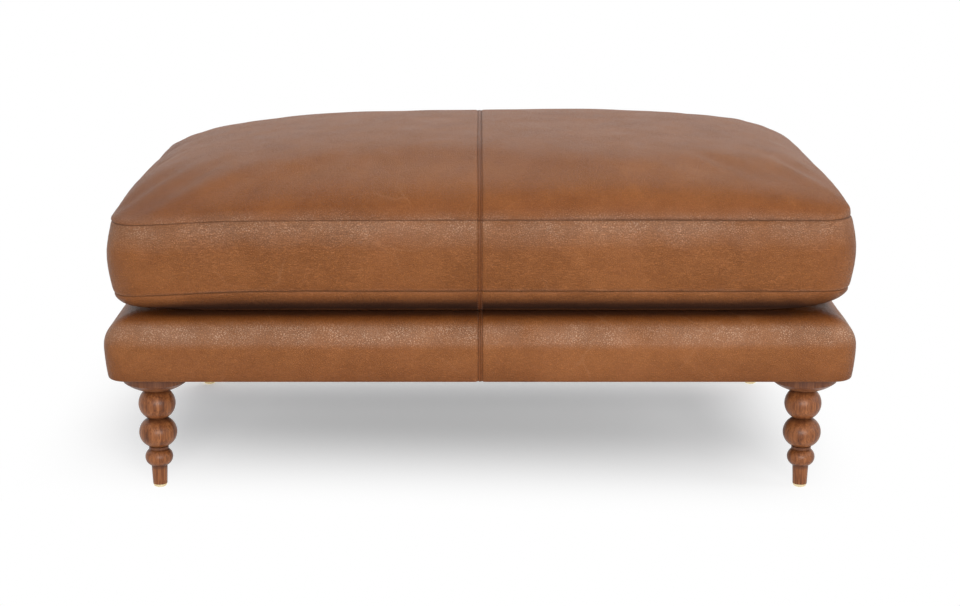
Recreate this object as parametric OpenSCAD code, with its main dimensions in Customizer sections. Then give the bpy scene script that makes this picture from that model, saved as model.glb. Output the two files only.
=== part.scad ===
// Rectangular leather ottoman: a loose boxed cushion on a padded base with four turned legs.
// All sizes are in millimetres. The origin is on the floor below the middle of the ottoman,
// +Z is up, +X runs along the long side and -Y faces the front.

/* [Base] */
// Width of the upholstered base, along X
base_w = 1040; // [800:10:1400]
// Depth of the upholstered base, along Y
base_d = 660; // [560:10:900]
// Height of the base from its underside to its deck
base_h = 87; // [82:1:120]
// Radius of the base's upright corners
base_corner_r = 35; // [25:1:50]
// Width of the roll along the base's top edge
base_roll_w = 50; // [34:1:56]
// Height of the roll along the base's top edge
base_roll_h = 44; // [30:1:60]
// Thickness of the leather
leather_t = 1.4; // [1:0.1:2]
// Thickness of the padding between the rails and the leather
pad_t = 12; // [8:1:18]
// Width of the leather border around the deck cloth
lip_w = 90; // [60:5:120]
// Width of the leather turned in under the rails
flange_w = 30; // [20:1:35]
// Thickness of the dust cover and of the deck cloth
cloth_t = 0.8; // [0.5:0.1:1.2]
// Distance from the base's edge to the dust cover's edge
dust_cover_inset = 15; // [10:1:20]

/* [Frame] */
// Thickness of the hardwood rails
rail_t = 28; // [26:1:34]
// Height of the hardwood rails
rail_h = 60; // [54:1:64]
// Height of the centre rail
centre_rail_h = 40; // [36:1:50]
// Length of each side of a corner block
block_size = 110; // [100:1:130]
// Length of a corner block's two short faces
block_end = 40; // [32:1:50]
// Thickness of the corner blocks
block_t = 25; // [22:1:30]
// Diameter of the dowels
dowel_d = 10; // [8:1:12]
// Length of the dowels
dowel_l = 50; // [40:1:60]
// Depth of a dowel's seat in the front or back rail
dowel_seat = 18; // [14:1:22]
// Diameter of the screws in the corner blocks
screw_d = 4.5; // [3.5:0.1:5]
// Length of the screws in the corner blocks
screw_l = 45; // [40:1:50]

/* [Springs and deck] */
// Number of sinuous springs
spring_count = 5; // [3:1:6]
// Distance between two springs
spring_pitch = 165; // [110:1:180]
// Diameter of the spring wire
wire_d = 3.8; // [3:0.1:4.5]
// Length of the straight part of one spring run
spring_run = 34; // [24:1:44]
// Distance between two runs of a spring, before it is evened out
run_pitch = 27; // [22:1:32]
// Thickness of a spring clip's steel
clip_t = 1.2; // [1:0.1:1.5]
// Width of a spring clip
clip_w = 24; // [18:1:30]
// Diameter of the clip nails
nail_d = 2; // [1.6:0.1:2.4]
// Length of the clip nails
nail_l = 20; // [15:1:25]
// Width of the edge roll that the padding forms on the rails
edge_roll_w = 8; // [6:1:10]
// Thickness of the felt over the springs
felt_t = 3; // [2:0.5:5]

/* [Legs] */
// Height of the base's underside above the floor
leg_h = 175; // [170:1:215]
// Distance from the base's side to the leg's axis
leg_inset_x = 64.5; // [60:0.5:80]
// Distance from the base's front or back to the leg's axis
leg_inset_y = 68.5; // [60:0.5:80]
// Radius of the saucer that meets the base
saucer_r = 45.5; // [40:0.5:50]
// Height of the saucer, with its curved underside
saucer_h = 31.5; // [29:0.5:38]
// Height of the saucer's upright edge
saucer_edge_h = 17.5; // [12:0.5:20]
// Radius of the saucer's curved underside
saucer_curve_r = 60; // [30:1:70]
// Radius of the neck under the saucer
top_neck_r = 15.5; // [14.5:0.5:20]
// Radius of the upper bead
upper_bead_r = 26; // [24:0.5:31]
// Height of the upper bead
upper_bead_h = 42.5; // [38:0.5:46]
// Radius of the neck between the two large beads
mid_neck_r = 13; // [12:0.5:16]
// Radius of the middle bead
middle_bead_r = 26.7; // [24:0.1:31]
// Height of the middle bead
middle_bead_h = 42; // [38:0.5:47]
// Radius of the collar above the lower bead
collar_r = 13.8; // [13:0.1:16]
// Height of the collar above the lower bead
collar_h = 3.5; // [2:0.1:4.5]
// Radius of the neck under the middle bead
low_neck_r = 11.2; // [10.8:0.1:12.8]
// Radius of the lower bead
lower_bead_r = 19.5; // [18:0.5:23]
// Height of the lower bead
lower_bead_h = 24.5; // [22:0.5:28]
// Radius at the top of the tapered foot
foot_top_r = 11.3; // [10.5:0.1:12.8]
// Radius at the bottom of the tapered foot
foot_bottom_r = 10.1; // [9.9:0.1:11.2]
// Radius of the brass glide
glide_r = 9.7; // [8:0.1:9.8]
// Radius of the flat that the glide stands on
glide_flat_r = 7; // [4:0.5:7.5]
// Height of the brass glide
glide_h = 4.5; // [3:0.5:5.5]
// Diameter of the hanger bolts
bolt_d = 8; // [6:1:8]
// Depth of the hanger bolt in the leg
bolt_depth = 45; // [35:1:60]

/* [Cushion] */
// Distance from the base's side to the cushion's seams
cushion_inset_x = 15; // [8:1:40]
// Distance from the base's front or back to the cushion's seams
cushion_inset_y = 12; // [8:1:40]
// Radius of the cushion's upright corners
cushion_corner_r = 42; // [30:1:60]
// Height of the boxing between the two seams
boxing_h = 97; // [75:1:110]
// How far the boxing swells out between its seams
boxing_swell = 7; // [3:0.5:12]
// How far the front and the sides are drawn in between the corners
draw_in = 3; // [0:0.5:6]
// Height of the crown above the upper seam
crown_h = 87; // [50:1:100]
// Power that sets how square the crown is
crown_power = 3; // [2.5:0.1:6]
// Height of the lower seam above the deck
under_h = 37.7; // [26:0.1:44]
// Power that sets how square the underside is
under_power = 8; // [6:0.5:12]
// Thickness of the fibre wrap around the foam
wrap_t = 20; // [12:1:26]

/* [Zip] */
// Height of the slot between the two leather strips along the zip
zip_slot = 12; // [11:0.5:16]
// Radius of the zip's two coils
coil_r = 1.4; // [1.2:0.1:1.6]
// Width of a zip tape beyond its coil
tape_w = 14; // [10:1:18]
// Distance from the end of the zip band to the end of the zip
zip_end = 8; // [5:1:20]
// Length of the slider
slider_l = 12; // [10:0.5:14]
// Thickness of the slider's plates and of the pull
slider_t = 1.2; // [1:0.1:1.4]
// Length of the pull beyond its eye
pull_l = 20; // [14:1:26]

/* [Hidden] */
$fn = 64;

// Gap between two soft pieces, and between two sewn edges
soft_gap = 0.3;
// Gap between the cushion's leather and its filling, under the crown
fill_gap = 0.9;
// Gap around a bolt, a dowel, a screw or a nail in its hole
hole_gap = 0.1;
// Least corner radius of a piece that is set in from the outline
least_r = 0.6;
// How far a cut runs past the face that it opens
cut = 1;

leather_colour = "#96592f";
wood_colour = "#8c5537";
brass_colour = "#d9b866";
steel_colour = "#b8babd";
frame_colour = "#d9bd91";
foam_colour = "#efe6c8";
cloth_colour = "#2e2b29";
felt_colour = "#8f8a80";

// Heights of the base's layers, from the floor up
flange_z = leg_h + cloth_t;
rail_z = flange_z + leather_t;
rail_top = rail_z + rail_h;
deck_z = leg_h + base_h;
deck_foam_top = deck_z - leather_t - soft_gap;

// Half sizes of the base and of the frame of rails in it
base_x = base_w / 2;
base_y = base_d / 2;
rail_inset = leather_t + pad_t;
rail_x = base_x - rail_inset;
rail_y = base_y - rail_inset;
rail_corner_r = max(base_corner_r - rail_inset, least_r);
inner_x = rail_x - rail_t;
inner_y = rail_y - rail_t;

// Places of the legs
leg_x = base_x - leg_inset_x;
leg_y = base_y - leg_inset_y;
bolt_r = bolt_d / 2;
bolt_hole_r = bolt_r + hole_gap;
tee_barrel_wall = 1.2;
tee_barrel_r = bolt_r + tee_barrel_wall;
tee_barrel_h = 9;
tee_flange_r = 9.5;
tee_flange_h = 1.5;
block_top = rail_z + block_t;
// How far a hanger bolt stands out of its tee nut
bolt_over = 6;
bolt_top = block_top + tee_flange_h + bolt_over;
bolt_tip_h = 6;
bolt_tip_r = 1;
glide_nail_r = 1.25;
glide_nail_l = 18;
// Height of the upright band around the top of a glide
glide_band_h = 1;
// Where the glide's rounding bends: shares of its reach and of its height
glide_bend = [0.75, 0.4];

// How far the upper bead runs up into the saucer
bead_overlap = 1;

// Heights along a leg, from the floor up
beads_h = upper_bead_h + middle_bead_h + collar_h + lower_bead_h;
foot_top_z = leg_h - saucer_h - beads_h + bead_overlap;
lower_bead_z = foot_top_z + lower_bead_h / 2;
collar_z = foot_top_z + lower_bead_h;
middle_bead_z = collar_z + collar_h + middle_bead_h / 2;
// Depth of the narrowest neck over the core that joins the beads
neck_over_core = 4;
leg_core_r = low_neck_r - neck_over_core;
upper_bead_z = collar_z + collar_h + middle_bead_h + upper_bead_h / 2;
saucer_z = leg_h - saucer_h;

// Sinuous springs, clipped to the tops of the front and back rails. The distance between two runs
// is evened out over the length in whole hundredths, so that runs and bends meet exactly.
wire_r = wire_d / 2;
clip_bore_r = wire_r + hole_gap;
clip_outer_r = clip_bore_r + clip_t;
// Height of the mouth that a clip opens towards its spring
clip_mouth_h = 0.8 * clip_outer_r;
// How far a spring's last run lies in from the rail's inner edge, beyond its clip
spring_seat = 1;
spring_z = rail_top + clip_outer_r;
spring_reach = 2 * (inner_y + clip_outer_r + spring_seat);
run_gaps = 2 * round(spring_reach / run_pitch / 2);
even_pitch = floor(100 * spring_reach / run_gaps) / 100;
spring_end_y = even_pitch * run_gaps / 2;
bend_r = even_pitch / 2;
spring_xs = [for (i = [0 : spring_count - 1]) (i - (spring_count - 1) / 2) * spring_pitch];
clip_plate_end = rail_y - edge_roll_w - soft_gap;
nail_y = (spring_end_y + clip_outer_r + clip_plate_end) / 2;
nail_offset = clip_w / 4;
nail_head_r = nail_d * 0.9;
nail_head_h = 0.8;

// Layers over the springs. The edge roll leans in from the rail to under the deck's leather, and the
// foam, whose corners are square, lies inside it.
felt_z = spring_z + clip_outer_r + soft_gap;
deck_foam_z = felt_z + felt_t + soft_gap;
roll_inset = rail_inset + edge_roll_w;
// How far the edge roll reaches in past the leather's curve, where the deck is flat
roll_top_over = 3;
roll_top_inset = max(roll_inset, base_roll_w) + roll_top_over;
roll_top_corner_r = max(base_corner_r - roll_top_inset, least_r);
deck_inset = roll_top_inset + 0.3 * roll_top_corner_r + soft_gap;
// How far the felt reaches past the springs, and stays in from the foam's edge
felt_over = 20;
felt_inset = 4;
felt_x = max(spring_xs) + spring_run / 2 + bend_r + felt_over;
felt_y = base_y - deck_inset - felt_inset;

// Dowels and screws
dowel_r = dowel_d / 2;
// Where the two dowels of a joint sit, as shares of the rail's height
dowel_shares = [0.27, 0.77];
dowel_zs = [for (share = dowel_shares) rail_z + share * rail_h];
centre_dowel_zs = [for (share = dowel_shares) rail_z + share * centre_rail_h];
screw_r = screw_d / 2;
screw_head_r = screw_d;
screw_head_h = screw_d * 0.6;
// How far a block's screws lie from the ends of the face that they enter
screw_near_end = 6;
screw_far_end = 24;
screw_offsets = [block_end + screw_near_end, block_size - screw_far_end];
screw_z = rail_z + block_t / 2;

// Cushion, measured at its two seams
cushion_x = base_x - cushion_inset_x;
cushion_y = base_y - cushion_inset_y;
cushion_z = deck_z + soft_gap;
lower_seam_z = cushion_z + under_h;
upper_seam_z = lower_seam_z + boxing_h;
side_fill_gap = 5;
under_spread = 1.12;

// Zip in the middle of the back boxing
zip_z = lower_seam_z + boxing_h / 2;
zip_strip_x = cushion_x - cushion_corner_r - soft_gap;
zip_x = zip_strip_x - zip_end;
// Slot between the two coils, and the slider's web that runs in it
coil_slot = 1.2;
slider_web_t = 0.6;
coil_z = coil_slot / 2 + coil_r;
tape_t = 0.8;
tape_face_y = cushion_y + boxing_bulge(zip_z + coil_z + tape_w) - leather_t - soft_gap;
tape_y = tape_face_y - tape_t / 2;
stop_l = 4;
// Metal of a stop around the coils, across the zip and above it
stop_wall = 0.8;
stop_face = 1;
slider_gap = 0.3;
// How far the slider's plates reach past the coils
slider_cover = 1;
slider_x = zip_x - stop_l - slider_gap - slider_l / 2;
slider_half_w = coil_z + coil_r + slider_cover;
slider_face_y = tape_y + coil_r + slider_gap + slider_t;
pull_bar_r = 0.7;
pull_bar_y = slider_face_y + slider_gap + pull_bar_r;
bridge_t = 1;
bridge_half_w = 1.2;
bridge_inner_x = 2.2;
pull_half_w = 3.2;
pull_hole_r = 1.2;
// Room around the bridge in the pull's eye, across the pull and along it
pull_eye_side = 0.4;
pull_eye_end = 1.4;
pull_eye_half_w = bridge_half_w + pull_eye_side;
pull_eye_x = bridge_inner_x + bridge_t + pull_eye_end;

// A station of an outline is [share of the straight in x, share of the straight in y, angle].
// The angle is that of the outward normal. The point lies inset from the full outline, and
// draw pulls the front and the sides in between the corners.
function outline_point(station, half_x, half_y, corner, inset, draw = 0) =
    let (
        r = max(corner - inset, least_r),
        flat_x = half_x - inset - r,
        flat_y = half_y - inset - r,
        front = station[1] < 0 ? draw * (1 - station[0] ^ 2) : 0,
        side = draw * station[0] * (1 - station[1] ^ 2)
    )
    [
        station[0] * flat_x + r * cos(station[2]) - side,
        station[1] * flat_y + r * sin(station[2]) + front
    ];

// Shares from 0 to 1 that crowd towards 1
function crowded(steps) = [for (i = [0 : steps]) sin(90 * i / steps)];

// Stations of the right half of an outline, from the middle of the front to the end of the back corner
function half_stations(front_steps, corner_steps, side_steps) = concat(
    [for (i = [0 : front_steps - 1]) [i / front_steps, -1, -90]],
    [for (i = [0 : corner_steps]) [1, -1, -90 + 90 * i / corner_steps]],
    [for (i = [1 : side_steps - 1]) [1, 2 * i / side_steps - 1, 0]],
    [for (i = [0 : corner_steps]) [1, 1, 90 * i / corner_steps]]
);

// Stations of a whole outline
function ring_stations(corner_steps) = [
    for (quarter = [0 : 3]) for (i = [0 : corner_steps]) [
        quarter < 2 ? 1 : -1,
        quarter == 0 || quarter == 3 ? -1 : 1,
        (quarter - 1) * 90 + 90 * i / corner_steps
    ]
];

// A closed profile of [inset, z] points, placed at every station of an outline
function profile_rings(profile, stations, half_x, half_y, corner, draw = 0) = [
    for (station = stations) [
        for (p = profile)
            let (q = outline_point(station, half_x, half_y, corner, p[0], draw))
            [q[0], q[1], p[1]]
    ]
];

function two_triangles(a, b, c, d) = [[a, b, c], [a, c, d]];

function reversed(list) = [for (i = [len(list) - 1 : -1 : 0]) list[i]];

// A wall through rings of equal length, closed on itself or capped at both ends
module ring_wall(rings, closed = false) {
    n = len(rings);
    m = len(rings[0]);
    last = closed ? n - 1 : n - 2;
    walls = [
        for (i = [0 : last]) for (j = [0 : m - 1])
            let (k = (i + 1) % n, l = (j + 1) % m)
            each two_triangles(i * m + j, i * m + l, k * m + l, k * m + j)
    ];
    first_cap = [for (j = [m - 1 : -1 : 0]) j];
    last_cap = [for (j = [0 : m - 1]) (n - 1) * m + j];
    faces = closed ? walls : concat(walls, [first_cap, last_cap]);
    polyhedron([for (ring = rings) each ring], faces);
}

// A closed solid between two grids of points, with walls around their four borders
module between_grids(upper, lower) {
    rows = len(upper);
    cols = len(upper[0]);
    n = rows * cols;
    top = [
        for (i = [0 : rows - 2]) for (j = [0 : cols - 2])
            let (a = i * cols + j)
            each two_triangles(a, a + cols, a + cols + 1, a + 1)
    ];
    bottom = [for (f = top) [f[0] + n, f[2] + n, f[1] + n]];
    border = concat(
        [for (j = [0 : cols - 2]) j],
        [for (i = [0 : rows - 2]) i * cols + cols - 1],
        [for (j = [cols - 1 : -1 : 1]) (rows - 1) * cols + j],
        [for (i = [rows - 1 : -1 : 1]) i * cols]
    );
    walls = [
        for (i = [0 : len(border) - 1])
            let (a = border[i], b = border[(i + 1) % len(border)])
            each two_triangles(a, b, b + n, a + n)
    ];
    points = [for (grid = [upper, lower]) for (row = grid) each row];
    polyhedron(points, concat(top, bottom, walls));
}

// Steps around the base's upright corners and over its roll, for the leather and the padding under it
base_corner_steps = 5;
roll_steps = 5;

// Outer profile of the base's leather at an inset: up the face, over the roll and in along the deck
function base_side(inset, bottom_z, end_inset) =
    let (
        reach = base_roll_w - inset,
        rise = base_roll_h - inset,
        centre_z = deck_z - base_roll_h,
        turns = [for (i = [0 : roll_steps]) 90 * i / roll_steps]
    )
    concat(
        [[inset, bottom_z]],
        [for (a = turns) [base_roll_w - reach * cos(a), centre_z + rise * sin(a)]],
        [[end_inset, deck_z - inset]]
    );

// One half of the base's leather: face, roll, border on the deck and flange under the rails
module base_cover_half() {
    outer = base_side(0, flange_z, lip_w);
    inner = base_side(leather_t, rail_z, lip_w);
    profile = concat([[flange_w, flange_z]], outer, reversed(inner), [[flange_w, rail_z]]);
    stations = concat(half_stations(2, base_corner_steps, 2), [[0, 1, 90]]);
    color(leather_colour)
        translate([soft_gap / 2, 0, 0])
            ring_wall(profile_rings(profile, stations, base_x - soft_gap / 2, base_y, base_corner_r));
}

module base_cover_right() {
    base_cover_half();
}

module base_cover_left() {
    mirror([1, 0, 0]) base_cover_half();
}

module deck_cloth() {
    inset = lip_w + soft_gap;
    color(cloth_colour)
        layer(base_x - inset, base_y - inset, deck_z - leather_t, cloth_t);
}

module dust_cover() {
    color(cloth_colour)
        difference() {
            layer(base_x - dust_cover_inset, base_y - dust_cover_inset, leg_h, cloth_t);
            at_legs()
                translate([0, 0, leg_h - cut]) cylinder(h = cloth_t + 2 * cut, r = bolt_hole_r);
        }
}

// Padding wrapped around the rails, with the roll that it forms on their outer top edge
module rail_padding() {
    outer_inset = leather_t + soft_gap;
    inner_inset = rail_inset - soft_gap;
    profile = concat(
        base_side(outer_inset, rail_z + soft_gap, roll_top_inset),
        [
            [roll_inset, spring_z + clip_outer_r],
            [roll_inset, rail_top + soft_gap],
            [inner_inset, rail_top + soft_gap],
            [inner_inset, rail_z + soft_gap]
        ]
    );
    stations = ring_stations(base_corner_steps);
    color(foam_colour)
        ring_wall(profile_rings(profile, stations, base_x, base_y, base_corner_r), closed = true);
}

// A flat layer centred on the ottoman
module layer(half_x, half_y, z, h) {
    translate([-half_x, -half_y, z]) cube([2 * half_x, 2 * half_y, h]);
}

module along_x(half_length) {
    rotate([90, 0, 90])
        translate([0, 0, -half_length])
            linear_extrude(2 * half_length) children();
}

module deck_foam() {
    color(foam_colour)
        layer(base_x - deck_inset, base_y - deck_inset, deck_foam_z, deck_foam_top - deck_foam_z);
}

module spring_felt() {
    color(felt_colour)
        layer(felt_x, felt_y, felt_z, felt_t);
}

module at_legs() {
    for (x = [-leg_x, leg_x]) for (y = [-leg_y, leg_y]) translate([x, y, 0]) children();
}

// Puts a child drawn for the right end at both ends
module both_ends() {
    for (side = [0, 1]) mirror([side, 0, 0]) children();
}

// Puts a child drawn for the front at the front and the back
module both_faces() {
    for (face = [0, 1]) mirror([0, face, 0]) children();
}

// The dowels of the front right corner and of the centre rail's front end
module front_dowels(r, l) {
    for (z = dowel_zs)
        translate([rail_x - rail_t / 2, -inner_y - dowel_seat, z])
            rotate([-90, 0, 0]) cylinder(h = l, r = r);
}

module centre_dowels(r, l) {
    for (z = centre_dowel_zs)
        translate([0, -inner_y - dowel_seat, z])
            rotate([-90, 0, 0]) cylinder(h = l, r = r);
}

module frame_dowels() {
    color(frame_colour)
        both_faces() {
            both_ends() front_dowels(dowel_r, dowel_l);
            centre_dowels(dowel_r, dowel_l);
        }
}

module dowel_holes() {
    both_faces() {
        both_ends() front_dowels(dowel_r + hole_gap, dowel_l + hole_gap);
        centre_dowels(dowel_r + hole_gap, dowel_l + hole_gap);
    }
}

// A screw along +X whose head is flush with x = 0
module screw(r, head_r, l) {
    rotate([0, 90, 0]) {
        cylinder(h = l, r = r);
        cylinder(h = screw_head_h, r1 = head_r, r2 = r);
    }
}

// The four screws of the front right corner block
module corner_screws(gap) {
    r = screw_r + gap;
    head_r = screw_head_r + gap;
    l = screw_l + gap;
    for (offset = screw_offsets) {
        translate([rail_x, -(inner_y - offset), screw_z]) rotate([0, 0, 180]) screw(r, head_r, l);
        translate([inner_x - offset, -rail_y, screw_z]) rotate([0, 0, 90]) screw(r, head_r, l);
    }
}

module block_screws() {
    color(steel_colour)
        both_faces() both_ends() corner_screws(0);
}

module screw_holes() {
    both_faces() both_ends() corner_screws(hole_gap);
}

// The frame's outer block, rounded in plan as the padding over it is
module frame_outline() {
    for (x = [-1, 1]) for (y = [-1, 1])
        translate([x * (rail_x - rail_corner_r), y * (rail_y - rail_corner_r)])
            circle(r = rail_corner_r);
    square([2 * rail_x, 2 * (rail_y - rail_corner_r)], center = true);
    square([2 * (rail_x - rail_corner_r), 2 * rail_y], center = true);
}

module front_rail() {
    color(frame_colour)
        difference() {
            translate([0, 0, rail_z])
                linear_extrude(rail_h)
                    intersection() {
                        frame_outline();
                        translate([-rail_x, -rail_y]) square([2 * rail_x, rail_t]);
                    }
            dowel_holes();
            screw_holes();
            nail_holes();
        }
}

module back_rail() {
    mirror([0, 1, 0]) front_rail();
}

module right_rail() {
    color(frame_colour)
        difference() {
            translate([inner_x, -inner_y, rail_z]) cube([rail_t, 2 * inner_y, rail_h]);
            dowel_holes();
            screw_holes();
        }
}

module left_rail() {
    mirror([1, 0, 0]) right_rail();
}

module centre_rail() {
    color(frame_colour)
        difference() {
            translate([-rail_t / 2, -inner_y, rail_z]) cube([rail_t, 2 * inner_y, centre_rail_h]);
            dowel_holes();
        }
}

module front_right_block() {
    color(frame_colour)
        difference() {
            translate([inner_x, -inner_y, rail_z])
                linear_extrude(block_t)
                    polygon([
                        [0, 0],
                        [0, block_size],
                        [-block_end, block_size],
                        [-block_size, block_end],
                        [-block_size, 0]
                    ]);
            translate([leg_x, -leg_y, rail_z - cut]) cylinder(h = block_t + 2 * cut, r = bolt_hole_r);
            translate([leg_x, -leg_y, block_top - tee_barrel_h - hole_gap])
                cylinder(h = tee_barrel_h + hole_gap + cut, r = tee_barrel_r + hole_gap);
            screw_holes();
        }
}

module front_left_block() {
    mirror([1, 0, 0]) front_right_block();
}

module back_right_block() {
    mirror([0, 1, 0]) front_right_block();
}

module back_left_block() {
    mirror([1, 0, 0]) back_right_block();
}

module tee_nuts() {
    color(steel_colour)
        at_legs()
            difference() {
                union() {
                    translate([0, 0, block_top]) cylinder(h = tee_flange_h, r = tee_flange_r);
                    translate([0, 0, block_top - tee_barrel_h])
                        cylinder(h = tee_barrel_h, r = tee_barrel_r);
                }
                translate([0, 0, block_top - tee_barrel_h - cut])
                    cylinder(h = tee_barrel_h + tee_flange_h + 2 * cut, r = bolt_hole_r);
            }
}

module hanger_bolts() {
    tip_z = leg_h - bolt_depth;
    color(steel_colour)
        at_legs() {
            translate([0, 0, tip_z + bolt_tip_h])
                cylinder(h = bolt_top - tip_z - bolt_tip_h, r = bolt_r);
            translate([0, 0, tip_z]) cylinder(h = bolt_tip_h, r1 = bolt_tip_r, r2 = bolt_r);
        }
}

// One sinuous spring: straight runs joined by half rings at alternate ends
module sinuous_spring() {
    for (i = [0 : run_gaps])
        translate([-spring_run / 2, i * even_pitch - spring_end_y, spring_z])
            rotate([0, 90, 0]) cylinder(h = spring_run, r = wire_r);
    for (i = [0 : run_gaps - 1]) {
        side = i % 2 == 0 ? 1 : -1;
        translate([side * spring_run / 2, (i + 0.5) * even_pitch - spring_end_y, spring_z])
            rotate([0, 0, -90 * side])
                rotate_extrude(angle = 180) translate([bend_r, 0]) circle(r = wire_r);
    }
}

module sinuous_springs() {
    color(steel_colour)
        for (x = spring_xs) translate([x, 0, 0]) sinuous_spring();
}

// A clip's section across the rail: a plate that ends in a curl around the wire
module clip_section() {
    difference() {
        union() {
            translate([spring_end_y, spring_z]) circle(r = clip_outer_r);
            translate([spring_end_y, rail_top]) square([clip_plate_end - spring_end_y, clip_t]);
        }
        translate([spring_end_y, spring_z]) circle(r = clip_bore_r);
        translate([spring_end_y - 2 * clip_outer_r, spring_z - clip_mouth_h / 2])
            square([2 * clip_outer_r, clip_mouth_h]);
    }
}

module at_nails() {
    both_faces()
        for (x = spring_xs) for (side = [-1, 1])
            translate([x + side * nail_offset, -nail_y, 0]) children();
}

module clip_nails() {
    seat_z = rail_top + clip_t;
    color(steel_colour)
        at_nails() {
            translate([0, 0, seat_z - nail_l]) cylinder(h = nail_l + nail_head_h, r = nail_d / 2);
            translate([0, 0, seat_z]) cylinder(h = nail_head_h, r = nail_head_r);
        }
}

module nail_holes() {
    at_nails()
        translate([0, 0, rail_top + clip_t - nail_l - hole_gap])
            cylinder(h = nail_l + hole_gap + cut, r = nail_d / 2 + hole_gap);
}

module spring_clips() {
    color(steel_colour)
        difference() {
            both_faces()
                for (x = spring_xs)
                    translate([x, 0, 0]) mirror([0, 1, 0]) along_x(clip_w / 2) clip_section();
            nail_holes();
        }
}

// Radius of the circle whose edge swells from the neck to the bead's full radius
function bead_curve_r(bead_r, neck_r, bead_h) =
    let (swell = bead_r - neck_r)
    (swell ^ 2 + (bead_h / 2) ^ 2) / (2 * swell);

// Half section of one bead of the turning, right of the leg's axis
module bead_section(bead_r, neck_r, bead_h, z) {
    r = bead_curve_r(bead_r, neck_r, bead_h);
    intersection() {
        translate([bead_r - r, z]) circle(r = r);
        translate([0, z - bead_h / 2]) square([bead_r + 1, bead_h]);
    }
}

// Centre of the arc of radius r that runs from the point a up to the point b, bulging down and out
function arc_centre(a, b, r) =
    let (
        middle = (a + b) / 2,
        chord = norm(b - a),
        reach = sqrt(r ^ 2 - chord ^ 2 / 4)
    )
    middle + reach * [a[1] - b[1], b[0] - a[0]] / chord;

module saucer_section() {
    low = [top_neck_r, saucer_z];
    high = [saucer_r, leg_h - saucer_edge_h];
    translate([0, high[1]]) square([saucer_r, saucer_edge_h]);
    intersection() {
        translate(arc_centre(low, high, saucer_curve_r)) circle(r = saucer_curve_r);
        translate([0, saucer_z]) square([saucer_r, saucer_h - saucer_edge_h]);
    }
    translate([0, saucer_z]) square([top_neck_r, saucer_h]);
}

module leg_section() {
    saucer_section();
    bead_section(upper_bead_r, mid_neck_r, upper_bead_h, upper_bead_z);
    bead_section(middle_bead_r, low_neck_r, middle_bead_h, middle_bead_z);
    translate([0, collar_z]) square([collar_r, collar_h]);
    bead_section(lower_bead_r, foot_top_r, lower_bead_h, lower_bead_z);
    polygon([[0, glide_h], [foot_bottom_r, glide_h], [foot_top_r, foot_top_z], [0, foot_top_z]]);
    translate([0, foot_top_z]) square([leg_core_r, saucer_z - foot_top_z]);
}

module leg() {
    color(wood_colour)
        difference() {
            rotate_extrude() leg_section();
            translate([0, 0, leg_h - bolt_depth - hole_gap])
                cylinder(h = bolt_depth + cut + hole_gap, r = bolt_hole_r);
            translate([0, 0, glide_h - cut])
                cylinder(h = glide_nail_l + cut + hole_gap, r = glide_nail_r + hole_gap);
        }
}

module glide() {
    dome_h = glide_h - glide_band_h;
    bend_x = glide_flat_r + glide_bend[0] * (glide_r - glide_flat_r);
    color(brass_colour) {
        rotate_extrude()
            polygon([
                [0, 0],
                [glide_flat_r, 0],
                [bend_x, glide_bend[1] * dome_h],
                [glide_r, dome_h],
                [glide_r, glide_h],
                [0, glide_h]
            ]);
        translate([0, 0, dome_h]) cylinder(h = glide_nail_l + glide_band_h, r = glide_nail_r);
    }
}

module front_left_leg() {
    translate([-leg_x, -leg_y, 0]) leg();
}

module front_right_leg() {
    translate([leg_x, -leg_y, 0]) leg();
}

module back_left_leg() {
    translate([-leg_x, leg_y, 0]) leg();
}

module back_right_leg() {
    translate([leg_x, leg_y, 0]) leg();
}

module front_left_glide() {
    translate([-leg_x, -leg_y, 0]) glide();
}

module front_right_glide() {
    translate([leg_x, -leg_y, 0]) glide();
}

module back_left_glide() {
    translate([-leg_x, leg_y, 0]) glide();
}

module back_right_glide() {
    translate([leg_x, leg_y, 0]) glide();
}

// How far the boxing stands out of its seams at a height
function boxing_bulge(z) = boxing_swell * sin(180 * (z - lower_seam_z) / boxing_h);

// Share of the full height at a share of the half width: 1 in the middle and 0 at the edge
function swell(share, power) = sqrt(max(0, 1 - abs(share) ^ power));

// Rows of the cushion's plan from front to back, each as [share of the straight in y, angle]
function plan_rows(corner_steps, side_steps) = concat(
    [for (i = [0 : corner_steps]) [-1, -90 + 90 * i / corner_steps]],
    [for (i = [1 : side_steps - 1]) [2 * i / side_steps - 1, 0]],
    [for (i = [0 : corner_steps]) [1, 90 * i / corner_steps]]
);

// A grid over the cushion's plan, set in from its outline, with heights from the seam
function plan_grid(rows, shares, side, seam_z, height, power, spread) = [
    for (row = rows) [
        for (s = shares)
            let (
                half_x = cushion_x - soft_gap / 2,
                station = [1, row[0], row[1]],
                edge = outline_point(station, half_x, cushion_y, cushion_corner_r, side, draw_in),
                t = edge[1] / (cushion_y - side),
                front = t < 0 ? -t * draw_in * (1 - s ^ 2) : 0,
                share = min(1, spread * swell(s, power) * swell(t, power))
            )
            [s * edge[0], edge[1] + front, seam_z + height * share]
    ]
];

function crown_grid(rows, shares, side, top) =
    plan_grid(rows, shares, side, upper_seam_z, crown_h - top, crown_power, 1);

function under_grid(rows, shares, side, top) =
    plan_grid(rows, shares, side, lower_seam_z, top - under_h, under_power, under_spread);

module cushion_top_half() {
    rows = plan_rows(4, 10);
    shares = crowded(12);
    color(leather_colour)
        translate([soft_gap / 2, 0, 0])
            between_grids(
                crown_grid(rows, shares, 0, 0),
                crown_grid(rows, shares, leather_t, leather_t)
            );
}

module cushion_top_right() {
    cushion_top_half();
}

module cushion_top_left() {
    mirror([1, 0, 0]) cushion_top_half();
}

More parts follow.
